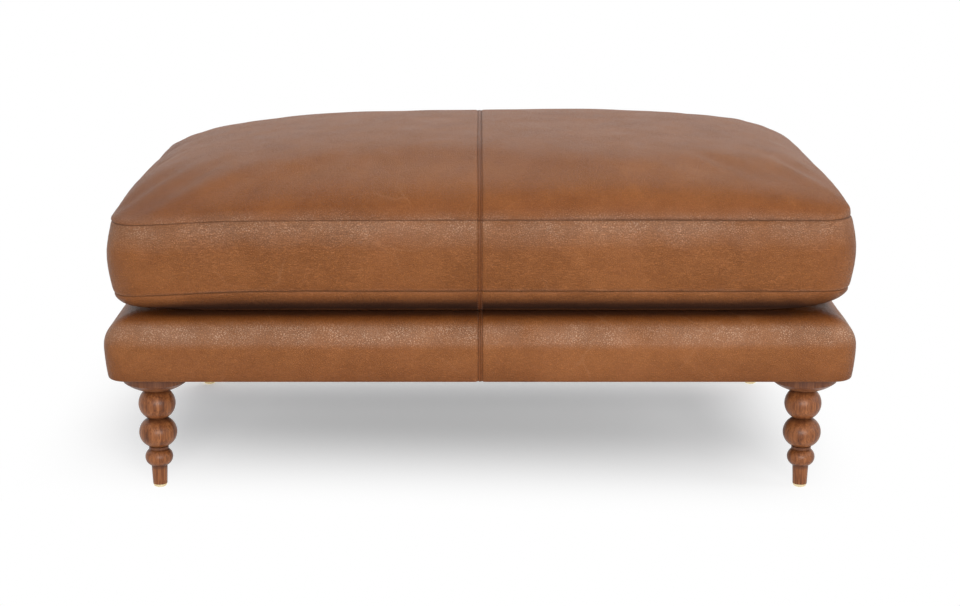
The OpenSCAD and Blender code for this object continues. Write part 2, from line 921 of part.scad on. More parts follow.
module cushion_underside_half() {
    rows = plan_rows(4, 6);
    shares = crowded(8);
    color(leather_colour)
        translate([soft_gap / 2, 0, 0])
            between_grids(
                under_grid(rows, shares, leather_t, leather_t),
                under_grid(rows, shares, 0, 0)
            );
}

module cushion_underside_right() {
    cushion_underside_half();
}

module cushion_underside_left() {
    mirror([1, 0, 0]) cushion_underside_half();
}

// Profile of a strip of boxing between two heights, as [inset, z] points
function boxing_profile(from_z, to_z, steps) =
    let (zs = [for (i = [0 : steps]) from_z + (to_z - from_z) * i / steps])
    concat(
        [for (z = zs) [-boxing_bulge(z), z]],
        [for (z = reversed(zs)) [leather_t - boxing_bulge(z), z]]
    );

module cushion_boxing_half() {
    half_x = cushion_x - soft_gap / 2;
    profile = boxing_profile(lower_seam_z + soft_gap, upper_seam_z - soft_gap, 6);
    stations = half_stations(6, 5, 6);
    color(leather_colour)
        translate([soft_gap / 2, 0, 0])
            ring_wall(profile_rings(profile, stations, half_x, cushion_y, cushion_corner_r, draw_in));
}

module cushion_boxing_right() {
    cushion_boxing_half();
}

module cushion_boxing_left() {
    mirror([1, 0, 0]) cushion_boxing_half();
}

// A straight strip of the back boxing, above or below the zip
module zip_strip(from_z, to_z) {
    profile = boxing_profile(from_z, to_z, 4);
    color(leather_colour)
        along_x(zip_strip_x) polygon([for (p = profile) [cushion_y - p[0], p[1]]]);
}

module cushion_zip_strip_upper() {
    zip_strip(zip_z + zip_slot / 2, upper_seam_z - soft_gap);
}

module cushion_zip_strip_lower() {
    zip_strip(lower_seam_z + soft_gap, zip_z - zip_slot / 2);
}

// The filling as one crowned form, set in from the leather at its sides and at its top and bottom
module filling(side, top) {
    rows = plan_rows(2, 6);
    shares = crowded(6);
    left = [for (s = reversed(shares)) -s];
    right = [for (i = [1 : len(shares) - 1]) shares[i]];
    both = concat(left, right);
    between_grids(crown_grid(rows, both, side, top), under_grid(rows, both, side, top));
}

module cushion_fibre_wrap() {
    top = leather_t + fill_gap;
    color(foam_colour)
        difference() {
            filling(side_fill_gap, top);
            filling(side_fill_gap + wrap_t, top + wrap_t);
        }
}

module cushion_foam() {
    inset = wrap_t + soft_gap;
    color(foam_colour)
        filling(side_fill_gap + inset, leather_t + fill_gap + inset);
}

// One side of the zip: the tape and the coil sewn along its edge
module zip_tape() {
    color(cloth_colour) {
        translate([-zip_x, tape_y, zip_z + coil_z])
            rotate([0, 90, 0]) cylinder(h = 2 * zip_x, r = coil_r);
        translate([-zip_x, tape_y - tape_t / 2, zip_z + coil_z])
            cube([2 * zip_x, tape_t, tape_w]);
    }
}

module zip_tape_upper() {
    zip_tape();
}

module zip_tape_lower() {
    translate([0, 0, 2 * zip_z]) mirror([0, 0, 1]) zip_tape();
}

// The two stops: a cramp across both coils at each end of the zip
module zip_stops() {
    half_t = coil_r + stop_face;
    half_w = coil_z + coil_r + stop_wall;
    color(brass_colour)
        for (x = [-zip_x, zip_x - stop_l])
            difference() {
                translate([x, tape_y - half_t, zip_z - half_w])
                    cube([stop_l, 2 * half_t, 2 * half_w]);
                translate([x - cut, tape_y, zip_z]) rotate([0, 90, 0]) stop_bore();
            }
}

// The space that the coils and tapes take in a stop
module stop_bore() {
    l = stop_l + 2 * cut;
    for (side = [-1, 1]) {
        translate([side * coil_z, 0, 0])
            cylinder(h = l, r = coil_r + hole_gap);
        translate([side * (coil_z + coil_r), 0, l / 2])
            cube([2 * coil_r, tape_t + 2 * hole_gap, l], center = true);
    }
}

// The slider: two plates on a web between the coils, with a bridge that holds the pull
module zip_slider() {
    inner_face_y = tape_y - coil_r - slider_gap;
    outer_face_y = tape_y + coil_r + slider_gap;
    bridge_y = pull_bar_y + pull_bar_r + slider_gap;
    bridge_x = bridge_inner_x + bridge_t;
    color(brass_colour)
        translate([slider_x, 0, zip_z]) {
            translate([-slider_l / 2, inner_face_y - slider_t, -slider_half_w])
                cube([slider_l, slider_t, 2 * slider_half_w]);
            translate([-slider_l / 2, outer_face_y, -slider_half_w])
                cube([slider_l, slider_t, 2 * slider_half_w]);
            translate([-slider_l / 2, inner_face_y, -slider_web_t / 2])
                cube([slider_l, outer_face_y - inner_face_y, slider_web_t]);
            for (side = [-1, 1])
                translate([side > 0 ? bridge_inner_x : -bridge_x, slider_face_y, -bridge_half_w])
                    cube([bridge_t, bridge_y - slider_face_y, 2 * bridge_half_w]);
            translate([-bridge_x, bridge_y, -bridge_half_w])
                cube([2 * bridge_x, bridge_t, 2 * bridge_half_w]);
        }
}

// The pull: a bar under the bridge and a tab that lies along the zip
module zip_pull() {
    color(brass_colour)
        translate([slider_x, pull_bar_y, zip_z]) {
            cylinder(h = 2 * pull_half_w, r = pull_bar_r, center = true);
            rotate([90, 0, 0])
                linear_extrude(slider_t, center = true)
                    difference() {
                        union() {
                            translate([-pull_eye_x - pull_l, -pull_half_w])
                                square([pull_eye_x + pull_l, 2 * pull_half_w]);
                            translate([-pull_eye_x - pull_l, 0]) circle(r = pull_half_w);
                        }
                        translate([-pull_eye_x, -pull_eye_half_w])
                            square([pull_eye_x + cut, 2 * pull_eye_half_w]);
                        translate([-pull_eye_x - pull_l, 0]) circle(r = pull_hole_r);
                    }
        }
}

base_cover_left();
base_cover_right();
deck_cloth();
dust_cover();
rail_padding();
deck_foam();
spring_felt();
front_rail();
back_rail();
left_rail();
right_rail();
centre_rail();
front_left_block();
front_right_block();
back_left_block();
back_right_block();
frame_dowels();
block_screws();
sinuous_springs();
spring_clips();
clip_nails();
front_left_leg();
front_right_leg();
back_left_leg();
back_right_leg();
front_left_glide();
front_right_glide();
back_left_glide();
back_right_glide();
hanger_bolts();
tee_nuts();
cushion_top_left();
cushion_top_right();
cushion_boxing_left();
cushion_boxing_right();
cushion_zip_strip_upper();
cushion_zip_strip_lower();
cushion_underside_left();
cushion_underside_right();
cushion_foam();
cushion_fibre_wrap();
zip_tape_upper();
zip_tape_lower();
zip_stops();
zip_slider();
zip_pull();
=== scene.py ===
import math

import bmesh
import bpy
from mathutils import Matrix, Vector, noise
from mathutils.kdtree import KDTree


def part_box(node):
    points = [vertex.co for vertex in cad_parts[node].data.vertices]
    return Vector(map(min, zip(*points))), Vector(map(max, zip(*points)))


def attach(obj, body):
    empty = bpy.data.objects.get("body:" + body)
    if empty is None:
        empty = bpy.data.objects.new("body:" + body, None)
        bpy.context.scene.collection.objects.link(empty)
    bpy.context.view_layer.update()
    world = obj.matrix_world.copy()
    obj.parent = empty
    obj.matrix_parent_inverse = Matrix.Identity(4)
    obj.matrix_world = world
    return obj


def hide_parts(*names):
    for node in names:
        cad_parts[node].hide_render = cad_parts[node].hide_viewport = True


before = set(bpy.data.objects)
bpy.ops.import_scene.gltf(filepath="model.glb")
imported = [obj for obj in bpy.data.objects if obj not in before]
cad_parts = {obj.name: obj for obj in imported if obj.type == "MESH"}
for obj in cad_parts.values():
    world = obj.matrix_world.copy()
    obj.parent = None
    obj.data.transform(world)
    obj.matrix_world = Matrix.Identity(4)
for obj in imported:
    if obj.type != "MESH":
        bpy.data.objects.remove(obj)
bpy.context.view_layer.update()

print("frame loaded:", len(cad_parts), "nodes")


# Helpers for shader nodes

def addNode(tree, kind, inputs=None, **settings):
    # A value that is a socket is linked, any other is set
    node = tree.nodes.new(kind)
    for key, value in settings.items():
        setattr(node, key, value)
    for key, value in (inputs or {}).items():
        if isinstance(value, bpy.types.NodeSocket):
            tree.links.new(value, node.inputs[key])
        else:
            node.inputs[key].default_value = value
    return node


def mathNode(tree, operation, first, second=0.0):
    return addNode(tree, "ShaderNodeMath", {0: first, 1: second}, operation=operation).outputs[0]


def times(tree, first, second):
    return mathNode(tree, "MULTIPLY", first, second)


def plus(tree, first, second):
    return mathNode(tree, "ADD", first, second)


def minus(tree, first, second):
    return mathNode(tree, "SUBTRACT", first, second)


def vectorNode(tree, operation, first, second):
    return addNode(tree, "ShaderNodeVectorMath", {0: first, 1: second}, operation=operation).outputs[0]


def objectCoords(tree):
    return addNode(tree, "ShaderNodeTexCoord").outputs["Object"]


def mapRange(tree, value, source, target, kind="SMOOTHSTEP"):
    return addNode(tree, "ShaderNodeMapRange", {
        "Value": value, "From Min": source[0], "From Max": source[1], "To Min": target[0], "To Max": target[1],
    }, interpolation_type=kind).outputs[0]


# Camera, floor and light

view = {
    "place": (0, -2.898, 0.9205),
    "tilt": 76.1,            # degrees, 90 looks along the floor
    "lens": 73.125, "sensor": 36,
    "floorSize": 60,
    # The floor turns plain white away from the ottoman: distances from whiteCentre where that starts and ends
    "whiteCentre": (-0.06, 0.170, 0), "whiteX": (0.39, 0.64), "whiteY": (0.136, 0.54),
    "whiteLean": 0.08,       # how much further forward the shadow reaches on the right than on the left
    "whiteLift": 0.20,       # painted light: how much a glow seen directly lightens the floor under the ottoman, where 1 is white
    "floorTone": (0.97, 0.97, 0.975, 1),
    "worldTone": (0.95, 0.97, 1, 1),
    "worldLight": 0.50,
}

# name, place, aimed at, size across and up, watts, tone
lamps = [
    ("lampTop", (0.2, 1.55, 2.8), (0, 0, 0.3), (3.2, 1.8), 27, (1, 0.985, 0.96)),
    ("lampFront", (0.3, -3.6, 0.98), (0, 0, 0.3), (2.8, 1.0), 91, (1, 0.985, 0.965)),
    ("lampRight", (3.2, -0.9, 1.4), (0, 0, 0.3), (1.4, 1.6), 16, (1, 1, 1)),
]


def seenDirectly(tree):
    # 1 for camera, glossy and transmission rays, 0 for the light that falls on the piece
    rays = addNode(tree, "ShaderNodeLightPath").outputs
    first = plus(tree, rays["Is Camera Ray"], rays["Is Glossy Ray"])
    return addNode(tree, "ShaderNodeMath", {0: first, 1: rays["Is Transmission Ray"]},
                   operation="ADD", use_clamp=True).outputs[0]


def makeWorld():
    world = bpy.data.worlds.new("studioWhite")
    bpy.context.scene.world = world
    world.use_nodes = True
    tree = world.node_tree
    tree.nodes.clear()
    light = addNode(tree, "ShaderNodeBackground", {"Color": view["worldTone"], "Strength": view["worldLight"]})
    white = addNode(tree, "ShaderNodeBackground", {"Color": (1, 1, 1, 1), "Strength": 1})
    seen = seenDirectly(tree)
    mix = addNode(tree, "ShaderNodeMixShader", {0: seen, 1: light.outputs[0], 2: white.outputs[0]})
    addNode(tree, "ShaderNodeOutputWorld", {"Surface": mix.outputs[0]})


def makeFloor():
    bpy.ops.object.select_all(action="DESELECT")
    bpy.ops.mesh.primitive_plane_add(size=view["floorSize"])
    floor = bpy.context.active_object
    floor.name = "floor"
    material = bpy.data.materials.new("paleFloor")
    material.use_nodes = True
    tree = material.node_tree
    tree.nodes.clear()
    centred = vectorNode(tree, "SUBTRACT", objectCoords(tree), view["whiteCentre"])
    apart = addNode(tree, "ShaderNodeSeparateXYZ", {0: centred}).outputs
    leaned = plus(tree, times(tree, apart["X"], view["whiteLean"]), apart["Y"])
    near = [mapRange(tree, mathNode(tree, "ABSOLUTE", distance), reach, (1, 0))
            for distance, reach in ((apart["X"], view["whiteX"]), (leaned, view["whiteY"]))]
    far = minus(tree, 1.0, times(tree, *near))
    seen = seenDirectly(tree)
    matt = addNode(tree, "ShaderNodeBsdfDiffuse", {"Color": view["floorTone"]})
    lift = times(tree, seen, view["whiteLift"])
    glow = addNode(tree, "ShaderNodeEmission", {"Color": (1, 1, 1, 1), "Strength": lift})
    lifted = addNode(tree, "ShaderNodeAddShader", {0: matt.outputs[0], 1: glow.outputs[0]})
    white = addNode(tree, "ShaderNodeEmission", {"Color": (1, 1, 1, 1), "Strength": 1})
    share = times(tree, far, seen)
    mix = addNode(tree, "ShaderNodeMixShader", {0: share, 1: lifted.outputs[0], 2: white.outputs[0]})
    addNode(tree, "ShaderNodeOutputMaterial", {"Surface": mix.outputs[0]})
    floor.data.materials.append(material)


def addToScene(name, data, place):
    thing = bpy.data.objects.new(name, data)
    bpy.context.scene.collection.objects.link(thing)
    thing.location = place
    return thing


def makeLights():
    for name, place, aim, size, watts, tone in lamps:
        data = bpy.data.lights.new(name, "AREA")
        data.shape = "RECTANGLE"
        data.size, data.size_y = size
        data.energy = watts
        data.color = tone
        lamp = addToScene(name, data, place)
        lamp.rotation_euler = (Vector(aim) - Vector(place)).to_track_quat("-Z", "Y").to_euler()


def makeCamera():
    data = bpy.data.cameras.new("camera")
    data.lens = view["lens"]
    data.sensor_width = view["sensor"]
    camera = addToScene("camera", data, view["place"])
    camera.rotation_euler = (math.radians(view["tilt"]), 0, 0)
    bpy.context.scene.camera = camera


bpy.context.scene.view_settings.view_transform = "Standard"
makeWorld()
makeFloor()
makeLights()
makeCamera()
print("studio ready")


# Materials

def startMaterial(name, settings):
    material = bpy.data.materials.new(name)
    material.use_nodes = True
    shader = material.node_tree.nodes["Principled BSDF"]
    for key, value in settings.items():
        shader.inputs[key].default_value = value
    return material, material.node_tree, shader


def rampNode(tree, factor, stops, smooth=False):
    ramp = addNode(tree, "ShaderNodeValToRGB", {"Fac": factor})
    band = ramp.color_ramp
    if smooth:
        band.interpolation = "EASE"
    while len(band.elements) < len(stops):
        band.elements.new(0.5)
    for element, (place, tone) in zip(band.elements, stops):
        element.position = place
        element.color = tone if len(tone) == 4 else (*tone, 1)
    return ramp.outputs["Color"]


def mixTone(tree, factor, first, second):
    return addNode(tree, "ShaderNodeMix", {0: factor, 6: first, 7: second}, data_type="RGBA").outputs[2]


def noiseNode(tree, coords, scale, detail=4, roughness=0.55, distortion=0):
    return addNode(tree, "ShaderNodeTexNoise", {
        "Vector": coords, "Scale": scale, "Detail": detail, "Roughness": roughness, "Distortion": distortion,
    }).outputs["Fac"]


def greyRamp(tree, factor, *stops, smooth=False):
    return rampNode(tree, factor, [(place, (grey, grey, grey)) for place, grey in stops], smooth)


def pieceMark(tree, name):
    # A value that the modelling code leaves on each point of the leather
    return addNode(tree, "ShaderNodeAttribute", attribute_name=name).outputs["Fac"]


def finishShader(tree, shader, tone, height, strength, distance, roughness=None):
    bump = addNode(tree, "ShaderNodeBump", {"Height": height, "Strength": strength, "Distance": distance})
    for name, value in (("Base Color", tone), ("Normal", bump.outputs[0]), ("Roughness", roughness)):
        if value is not None:
            tree.links.new(value, shader.inputs[name])


def stretched(tree, coords, scale):
    return addNode(tree, "ShaderNodeMapping", {"Vector": coords, "Scale": scale}).outputs[0]


leatherLook = {
    "dark": (0.155, 0.042, 0.0085),
    "middle": (0.228, 0.0715, 0.0160),
    "light": (0.295, 0.104, 0.028),
    "pale": (0.365, 0.142, 0.046),
    # Scales of the noises in the dye, their shares, and how far they stand out
    "clouds": 4.2, "blotches": 21, "flecks": 140,
    "cloudShare": 0.34, "blotchShare": 0.45, "fleckShare": 0.25,
    "contrast": 0.64,
    "panelShift": (3.1, 1.7, 2.3),               # where on the hide the next panel is cut, in metres
    "veinTone": (0.40, 0.18, 0.080, 1), "veinScale": 8.5, "veinShare": 0.34, "veinBend": (0.16, 0.16, 0.16),
    "seamTone": (0.070, 0.018, 0.005, 1), "seamShare": 0.46,
    "stripTone": (0.165, 0.045, 0.0095, 1), "stripShare": 0.55,
    "creaseTone": (0.085, 0.022, 0.005, 1),      # between the pebbles and in the wrinkles: painted shade in the creases
    "gapShadowTone": (0.018, 0.0042, 0.0010, 1),      # painted shadow in the gap under the cushion
    "rubbedAndHighlightTone": (0.53, 0.315, 0.205, 1),       # where the leather is rubbed, with a painted highlight
    "grainScale": 400, "poreScale": 900,
    "grainDepth": 0.00060,                       # metres
    # Scales of the places where the grain is deep, the sides wrinkled, the edges rubbed with a painted
    # highlight, and the pebble tops pale
    "deepScale": 17, "wrinkledScale": 6.5, "rubbedAndLitScale": 15, "paleTopScale": 46,
    # Fine wrinkles along the sides: scale, stretch, how dark their painted shade is, and how deep
    "wrinkleScale": 290, "wrinkleStretch": (0.42, 0.42, 1.7), "wrinkleShade": 0.30, "wrinkleDepth": 0.45,
    "roughness": 0.32,
}


def dyeAndPaintedLightTone(tree, hide, blotches):
    look = leatherLook
    clouds = times(tree, noiseNode(tree, hide, look["clouds"], 5, 0.6, 0.4), look["cloudShare"])
    flecks = times(tree, noiseNode(tree, hide, look["flecks"], 4, 0.6), look["fleckShare"])
    blend = plus(tree, plus(tree, clouds, times(tree, blotches, look["blotchShare"])), flecks)
    # Painted light and shade: paler on the sides, deeper on top and under the overhang
    blend = times(tree, minus(tree, blend, 0.5), look["contrast"])
    blend = plus(tree, plus(tree, blend, pieceMark(tree, "shade")), 0.5)
    return rampNode(tree, blend, [
        (0.32, look["dark"]), (0.5, look["middle"]), (0.68, look["light"]), (0.86, look["pale"]),
    ])


def addVeins(tree, hide, tone):
    # Pale scuffs and veins of the hide, only here and there
    bent = addNode(tree, "ShaderNodeTexNoise", {"Vector": hide, "Scale": 7, "Detail": 3}).outputs["Color"]
    bentHide = vectorNode(tree, "ADD", hide, vectorNode(tree, "MULTIPLY", bent, leatherLook["veinBend"]))
    edges = addNode(tree, "ShaderNodeTexVoronoi", {"Vector": bentHide, "Scale": leatherLook["veinScale"]},
                    feature="DISTANCE_TO_EDGE").outputs["Distance"]
    vein = greyRamp(tree, edges, (0.0, 1), (0.022, 0))
    some = greyRamp(tree, noiseNode(tree, hide, 9, 3), (0.52, 0), (0.68, 1))
    vein = times(tree, times(tree, vein, some), leatherLook["veinShare"])
    return mixTone(tree, vein, tone, leatherLook["veinTone"])


def makeLeather():
    look = leatherLook
    material, tree, shader = startMaterial("waxedLeather", {
        "Roughness": 0.36, "Specular IOR Level": 0.22, "IOR": 1.46,
        "Coat Weight": 0.05, "Coat Roughness": 0.3,
    })
    panel = pieceMark(tree, "panel")
    shift = addNode(tree, "ShaderNodeCombineXYZ", {0: panel, 1: panel, 2: panel}).outputs[0]
    # Each panel is cut from another place of the hide
    hide = vectorNode(tree, "ADD", objectCoords(tree), vectorNode(tree, "MULTIPLY", shift, look["panelShift"]))
    blotches = noiseNode(tree, hide, look["blotches"], 6, 0.62, 0.6)
    tone = addVeins(tree, hide, dyeAndPaintedLightTone(tree, hide, blotches))

    # Fine grain: small pebbles with creases between them
    grain = {"Vector": hide, "Scale": look["grainScale"]}
    edges = addNode(tree, "ShaderNodeTexVoronoi", grain, feature="DISTANCE_TO_EDGE").outputs["Distance"]
    crease = greyRamp(tree, edges, (0.0, 0), (0.24, 1), smooth=True)
    between = minus(tree, 1.0, crease)
    pores = noiseNode(tree, hide, look["poreScale"], 3, 0.6)
    wearAndPaintedLight = pieceMark(tree, "wearAndPaintedLight")
    # Neither the wear nor the painted highlight is even along an edge
    uneven = minus(tree, times(tree, noiseNode(tree, hide, look["rubbedAndLitScale"], 3), 2.4), 0.2)
    rubbedAndLit = times(tree, mathNode(tree, "MAXIMUM", wearAndPaintedLight, 0.0), uneven)
    # Painted shade between the pebbles, deeper along the rubbed edges
    dark = times(tree, between, plus(tree, times(tree, rubbedAndLit, 0.22), 0.30))
    tone = mixTone(tree, dark, tone, look["creaseTone"])

    # The grain is deeper in some places of the hide than in others, and so are the wrinkles along the sides
    deep = greyRamp(tree, noiseNode(tree, hide, look["deepScale"], 4, 0.6), (0.38, 0.35), (0.66, 1))
    wrinkled = noiseNode(tree, hide, look["wrinkledScale"], 3)
    wrinkled = greyRamp(tree, wrinkled, (0.34, 0.6), (0.62, 1), smooth=True)
    wrinkled = times(tree, pieceMark(tree, "sides"), wrinkled)
    long = stretched(tree, hide, look["wrinkleStretch"])
    wrinkles = noiseNode(tree, long, look["wrinkleScale"], 4, 0.65, 1.2)
    # Each wrinkle is a narrow groove
    groove = mathNode(tree, "ABSOLUTE", minus(tree, wrinkles, 0.5))
    groove = greyRamp(tree, groove, (0.0, 0), (0.07, 1), smooth=True)
    # Painted shade in the groove of each wrinkle
    lines = times(tree, minus(tree, 1.0, groove), times(tree, wrinkled, look["wrinkleShade"]))
    tone = mixTone(tree, lines, tone, look["creaseTone"])

    # Rubbed pale on the tops of the pebbles along the edges, with a painted highlight there, and a painted
    # shadow where the leather turns under the cushion
    middles = addNode(tree, "ShaderNodeTexVoronoi", grain).outputs["Distance"]
    tops = greyRamp(tree, middles, (0.24, 1), (0.52, 0), smooth=True)
    paleTops = greyRamp(tree, noiseNode(tree, hide, look["paleTopScale"], 5, 0.7), (0.40, 0.12), (0.62, 1))
    rubbedAndHighlight = times(tree, rubbedAndLit, plus(tree, times(tree, times(tree, tops, paleTops), 0.50), 0.22))
    tone = mixTone(tree, rubbedAndHighlight, tone, look["rubbedAndHighlightTone"])
    gapShadow = times(tree, mathNode(tree, "MAXIMUM", times(tree, wearAndPaintedLight, -1.0), 0.0), 0.97)
    tone = mixTone(tree, gapShadow, tone, look["gapShadowTone"])

    # Darker in the seams and on the topstitched strip
    for mark in ("strip", "seam"):
        share = times(tree, pieceMark(tree, mark), look[mark + "Share"])
        tone = mixTone(tree, share, tone, look[mark + "Tone"])

    matt = plus(tree, times(tree, blotches, 0.22), look["roughness"])
    # Rougher where the shadow under the cushion is painted
    matt = mathNode(tree, "MAXIMUM", plus(tree, matt, times(tree, between, 0.08)), gapShadow)

    height = plus(tree, times(tree, crease, deep), times(tree, pores, 0.4))
    height = plus(tree, height, times(tree, groove, times(tree, wrinkled, look["wrinkleDepth"])))
    # The grain stands out most where the leather is rubbed and its highlight painted
    height = times(tree, height, plus(tree, times(tree, rubbedAndLit, 0.3), 1.0))
    finishShader(tree, shader, tone, height, 1.0, look["grainDepth"], matt)
    return material


woodLook = {
    "tones": [(0.34, (0.060, 0.016, 0.005)), (0.48, (0.200, 0.064, 0.019)), (0.66, (0.370, 0.140, 0.048))],
    "poreTone": (0.045, 0.014, 0.006, 1),
    "neckTone": (0.060, 0.018, 0.008, 1),
    # Heights of the leg's necks, where shade is painted, and how far it reaches, in metres
    "necks": [0.0320, 0.0582, 0.1020, 0.1440], "neckReach": (0.0006, 0.0065),
    "saucer": (0.144, 0.168),
}


def makeLegWood():
    material, tree, shader = startMaterial("turnedWalnut", {
        "Roughness": 0.36, "Specular IOR Level": 0.28, "Coat Weight": 0.06, "Coat Roughness": 0.2,
    })
    place = objectCoords(tree)
    broad = noiseNode(tree, stretched(tree, place, (1, 1, 0.055)), 90, 4, 0.65, 0.8)
    fine = noiseNode(tree, stretched(tree, place, (1, 1, 0.02)), 380, 4, 0.75)
    pores = noiseNode(tree, stretched(tree, place, (1, 1, 0.035)), 900, 2, 0.5)
    pores = greyRamp(tree, pores, (0.56, 0), (0.66, 1))
    tone = rampNode(tree, plus(tree, times(tree, broad, 0.55), times(tree, fine, 0.45)), woodLook["tones"])
    tone = mixTone(tree, times(tree, pores, 0.6), tone, woodLook["poreTone"])
    height = addNode(tree, "ShaderNodeSeparateXYZ", {0: place}).outputs["Z"]
    # Painted shade in each neck of the leg
    neckShade = 0.0
    for neck in woodLook["necks"]:
        gap = mathNode(tree, "ABSOLUTE", minus(tree, height, neck))
        neckShadeHere = mapRange(tree, gap, woodLook["neckReach"], (1, 0), "SMOOTHERSTEP")
        neckShade = mathNode(tree, "MAXIMUM", neckShade, neckShadeHere)
    tone = mixTone(tree, times(tree, neckShade, 0.62), tone, woodLook["neckTone"])
    # Painted shade: the saucer is darker towards the base
    under = mapRange(tree, height, woodLook["saucer"], (0, 0.72))
    tone = mixTone(tree, under, tone, woodLook["neckTone"])
    relief = plus(tree, fine, times(tree, pores, -0.8))
    finishShader(tree, shader, tone, relief, 0.4, 0.00025, plus(tree, times(tree, fine, 0.25), 0.26))
    return material


def makeMetal(name, dark, light, roughness):
    material, tree, shader = startMaterial(name, {"Metallic": 1, "Roughness": roughness})
    place = objectCoords(tree)
    tarnish = rampNode(tree, noiseNode(tree, place, 260, 5, 0.6), [(0.35, dark), (0.65, light)])
    brushed = noiseNode(tree, stretched(tree, place, (1, 1, 12)), 520, 3)
    matt = plus(tree, times(tree, brushed, 0.16), roughness - 0.08)
    finishShader(tree, shader, tarnish, brushed, 0.15, 0.0001, matt)
    return material


def makeFrameWood():
    material, tree, shader = startMaterial("kilnDriedBeech", {"Roughness": 0.62})
    grain = noiseNode(tree, stretched(tree, objectCoords(tree), (0.07, 0.07, 1)), 160, 5, 0.65, 0.6)
    tone = rampNode(tree, grain, [(0.3, (0.40, 0.25, 0.13)), (0.7, (0.66, 0.49, 0.30))])
    finishShader(tree, shader, tone, grain, 0.3, 0.0003)
    return material


def makeCloth(name, dark, light, threads, depth, weave=1.0):
    # Plain weave: two sets of threads that pass over and under each other
    material, tree, shader = startMaterial(name, {
        "Roughness": 0.9, "Specular IOR Level": 0.2, "Sheen Weight": 0.15, "Sheen Roughness": 0.5,
    })
    place = objectCoords(tree)
    waves = []
    for axis in ("X", "Y"):
        waves.append(addNode(tree, "ShaderNodeTexWave", {"Vector": place, "Scale": threads, "Distortion": 0.4,
                                                         "Detail": 2, "Detail Scale": 3},
                             wave_type="BANDS", bands_direction=axis).outputs["Fac"])
    over = mathNode(tree, "MAXIMUM", waves[0], waves[1])
    fuzz = noiseNode(tree, place, threads * 4, 4, 0.7)
    height = plus(tree, times(tree, over, weave), times(tree, fuzz, 0.5))
    tone = rampNode(tree, times(tree, height, 0.66), [(0.2, dark), (0.8, light)])
    finishShader(tree, shader, tone, height, 0.5, depth)
    return material


leather = makeLeather()
legWood = makeLegWood()
brass = makeMetal("polishedBrass", (0.76, 0.60, 0.32), (0.92, 0.80, 0.54), 0.26)
steel = makeMetal("zincedSteel", (0.42, 0.43, 0.45), (0.62, 0.63, 0.65), 0.38)
frameWood = makeFrameWood()
deckWeave = makeCloth("deckCanvas", (0.030, 0.022, 0.018), (0.085, 0.062, 0.048), 190, 0.0004)
coverWeave = makeCloth("blackLining", (0.010, 0.010, 0.011), (0.035, 0.035, 0.037), 260, 0.00025, 0.5)
zipWeave = makeCloth("zipTape", (0.035, 0.018, 0.010), (0.085, 0.045, 0.026), 420, 0.0002)
thread = makeCloth("waxedThread", (0.060, 0.026, 0.011), (0.145, 0.068, 0.032), 700, 0.0002)
print("materials ready")


# Helpers for modelling

def deselectAll():
    if bpy.context.object and bpy.context.object.mode != "OBJECT":
        bpy.ops.object.mode_set(mode="OBJECT")
    bpy.ops.object.select_all(action="DESELECT")


def makeActive(piece):
    deselectAll()
    piece.select_set(True)
    bpy.context.view_layer.objects.active = piece


def applyModifiers(piece):
    makeActive(piece)
    for modifier in list(piece.modifiers):
        bpy.ops.object.modifier_apply(modifier=modifier.name)


def addGrid(name, columns, rows):
    # A grid whose vertices run along X first, so vertex i lies in column i % (columns + 1)
    deselectAll()
    bpy.ops.mesh.primitive_grid_add(x_subdivisions=columns, y_subdivisions=rows, size=2)
    piece = bpy.context.active_object
    piece.name = piece.data.name = name
    return piece


def editAll():
    # Opens the active piece for editing with everything selected
    bpy.ops.object.mode_set(mode="EDIT")
    bpy.ops.mesh.select_all(action="SELECT")


def leaveEdit():
    bpy.ops.object.mode_set(mode="OBJECT")


def extrudeBorder(piece, steps):
    # Walls down from the open border, one row of faces for each step
    makeActive(piece)
    bpy.ops.object.mode_set(mode="EDIT")
    bpy.ops.mesh.select_mode(type="EDGE")
    bpy.ops.mesh.select_all(action="DESELECT")
    bpy.ops.mesh.select_non_manifold()
    for step in steps:
        bpy.ops.mesh.extrude_region_move(TRANSFORM_OT_translate={"value": (0, 0, -step)})
    leaveEdit()


def subdivide(piece):
    finer = piece.modifiers.new("Subdivision", "SUBSURF")
    finer.levels = finer.render_levels = 1


def setMaterial(piece, material):
    piece.data.materials.clear()
    piece.data.materials.append(material)


def finishSheet(piece, thickness, offset, angle, material):
    thick = piece.modifiers.new("Thickness", "SOLIDIFY")
    thick.thickness = thickness
    thick.offset = offset
    applyModifiers(piece)
    bpy.ops.object.shade_smooth_by_angle(angle=math.radians(angle))
    setMaterial(piece, material)


def setMarks(piece, points):
    # Values for each point of the leather, which its material reads by name
    for name, values in zip(("seam", "strip", "panel", "wearAndPaintedLight", "shade", "sides"), zip(*points)):
        piece.data.attributes.new(name, "FLOAT", "POINT").data.foreach_set("value", values)


def mirrored(shares):
    return [-share for share in reversed(shares) if share > 0] + list(shares)


def smoothStep(value, low, high):
    share = min(1, max(0, (value - low) / (high - low)))
    return share * share * (3 - 2 * share)


def faded(distance, strength, full, none):
    # The strength up to the distance full, and less from there to the distance none
    return strength * (1 - smoothStep(distance, full, none))


def unevenness(place, deep, fine, shift):
    # Soft waves of two sizes, each with its depth in metres and its scale
    return deep[0] * noise.noise(place * deep[1] + Vector(shift)) + fine[0] * noise.noise(place * fine[1])


def signedPower(value, power):
    return math.copysign(abs(value) ** power, value)


def edgeX(y, size):
    # Half width of a rounded rectangle at y
    corner = size["corner"]
    over = abs(y) - (size["halfY"] - corner)
    if over <= 0:
        return size["halfX"]
    return size["halfX"] - corner + math.sqrt(max(0, corner * corner - over * over))


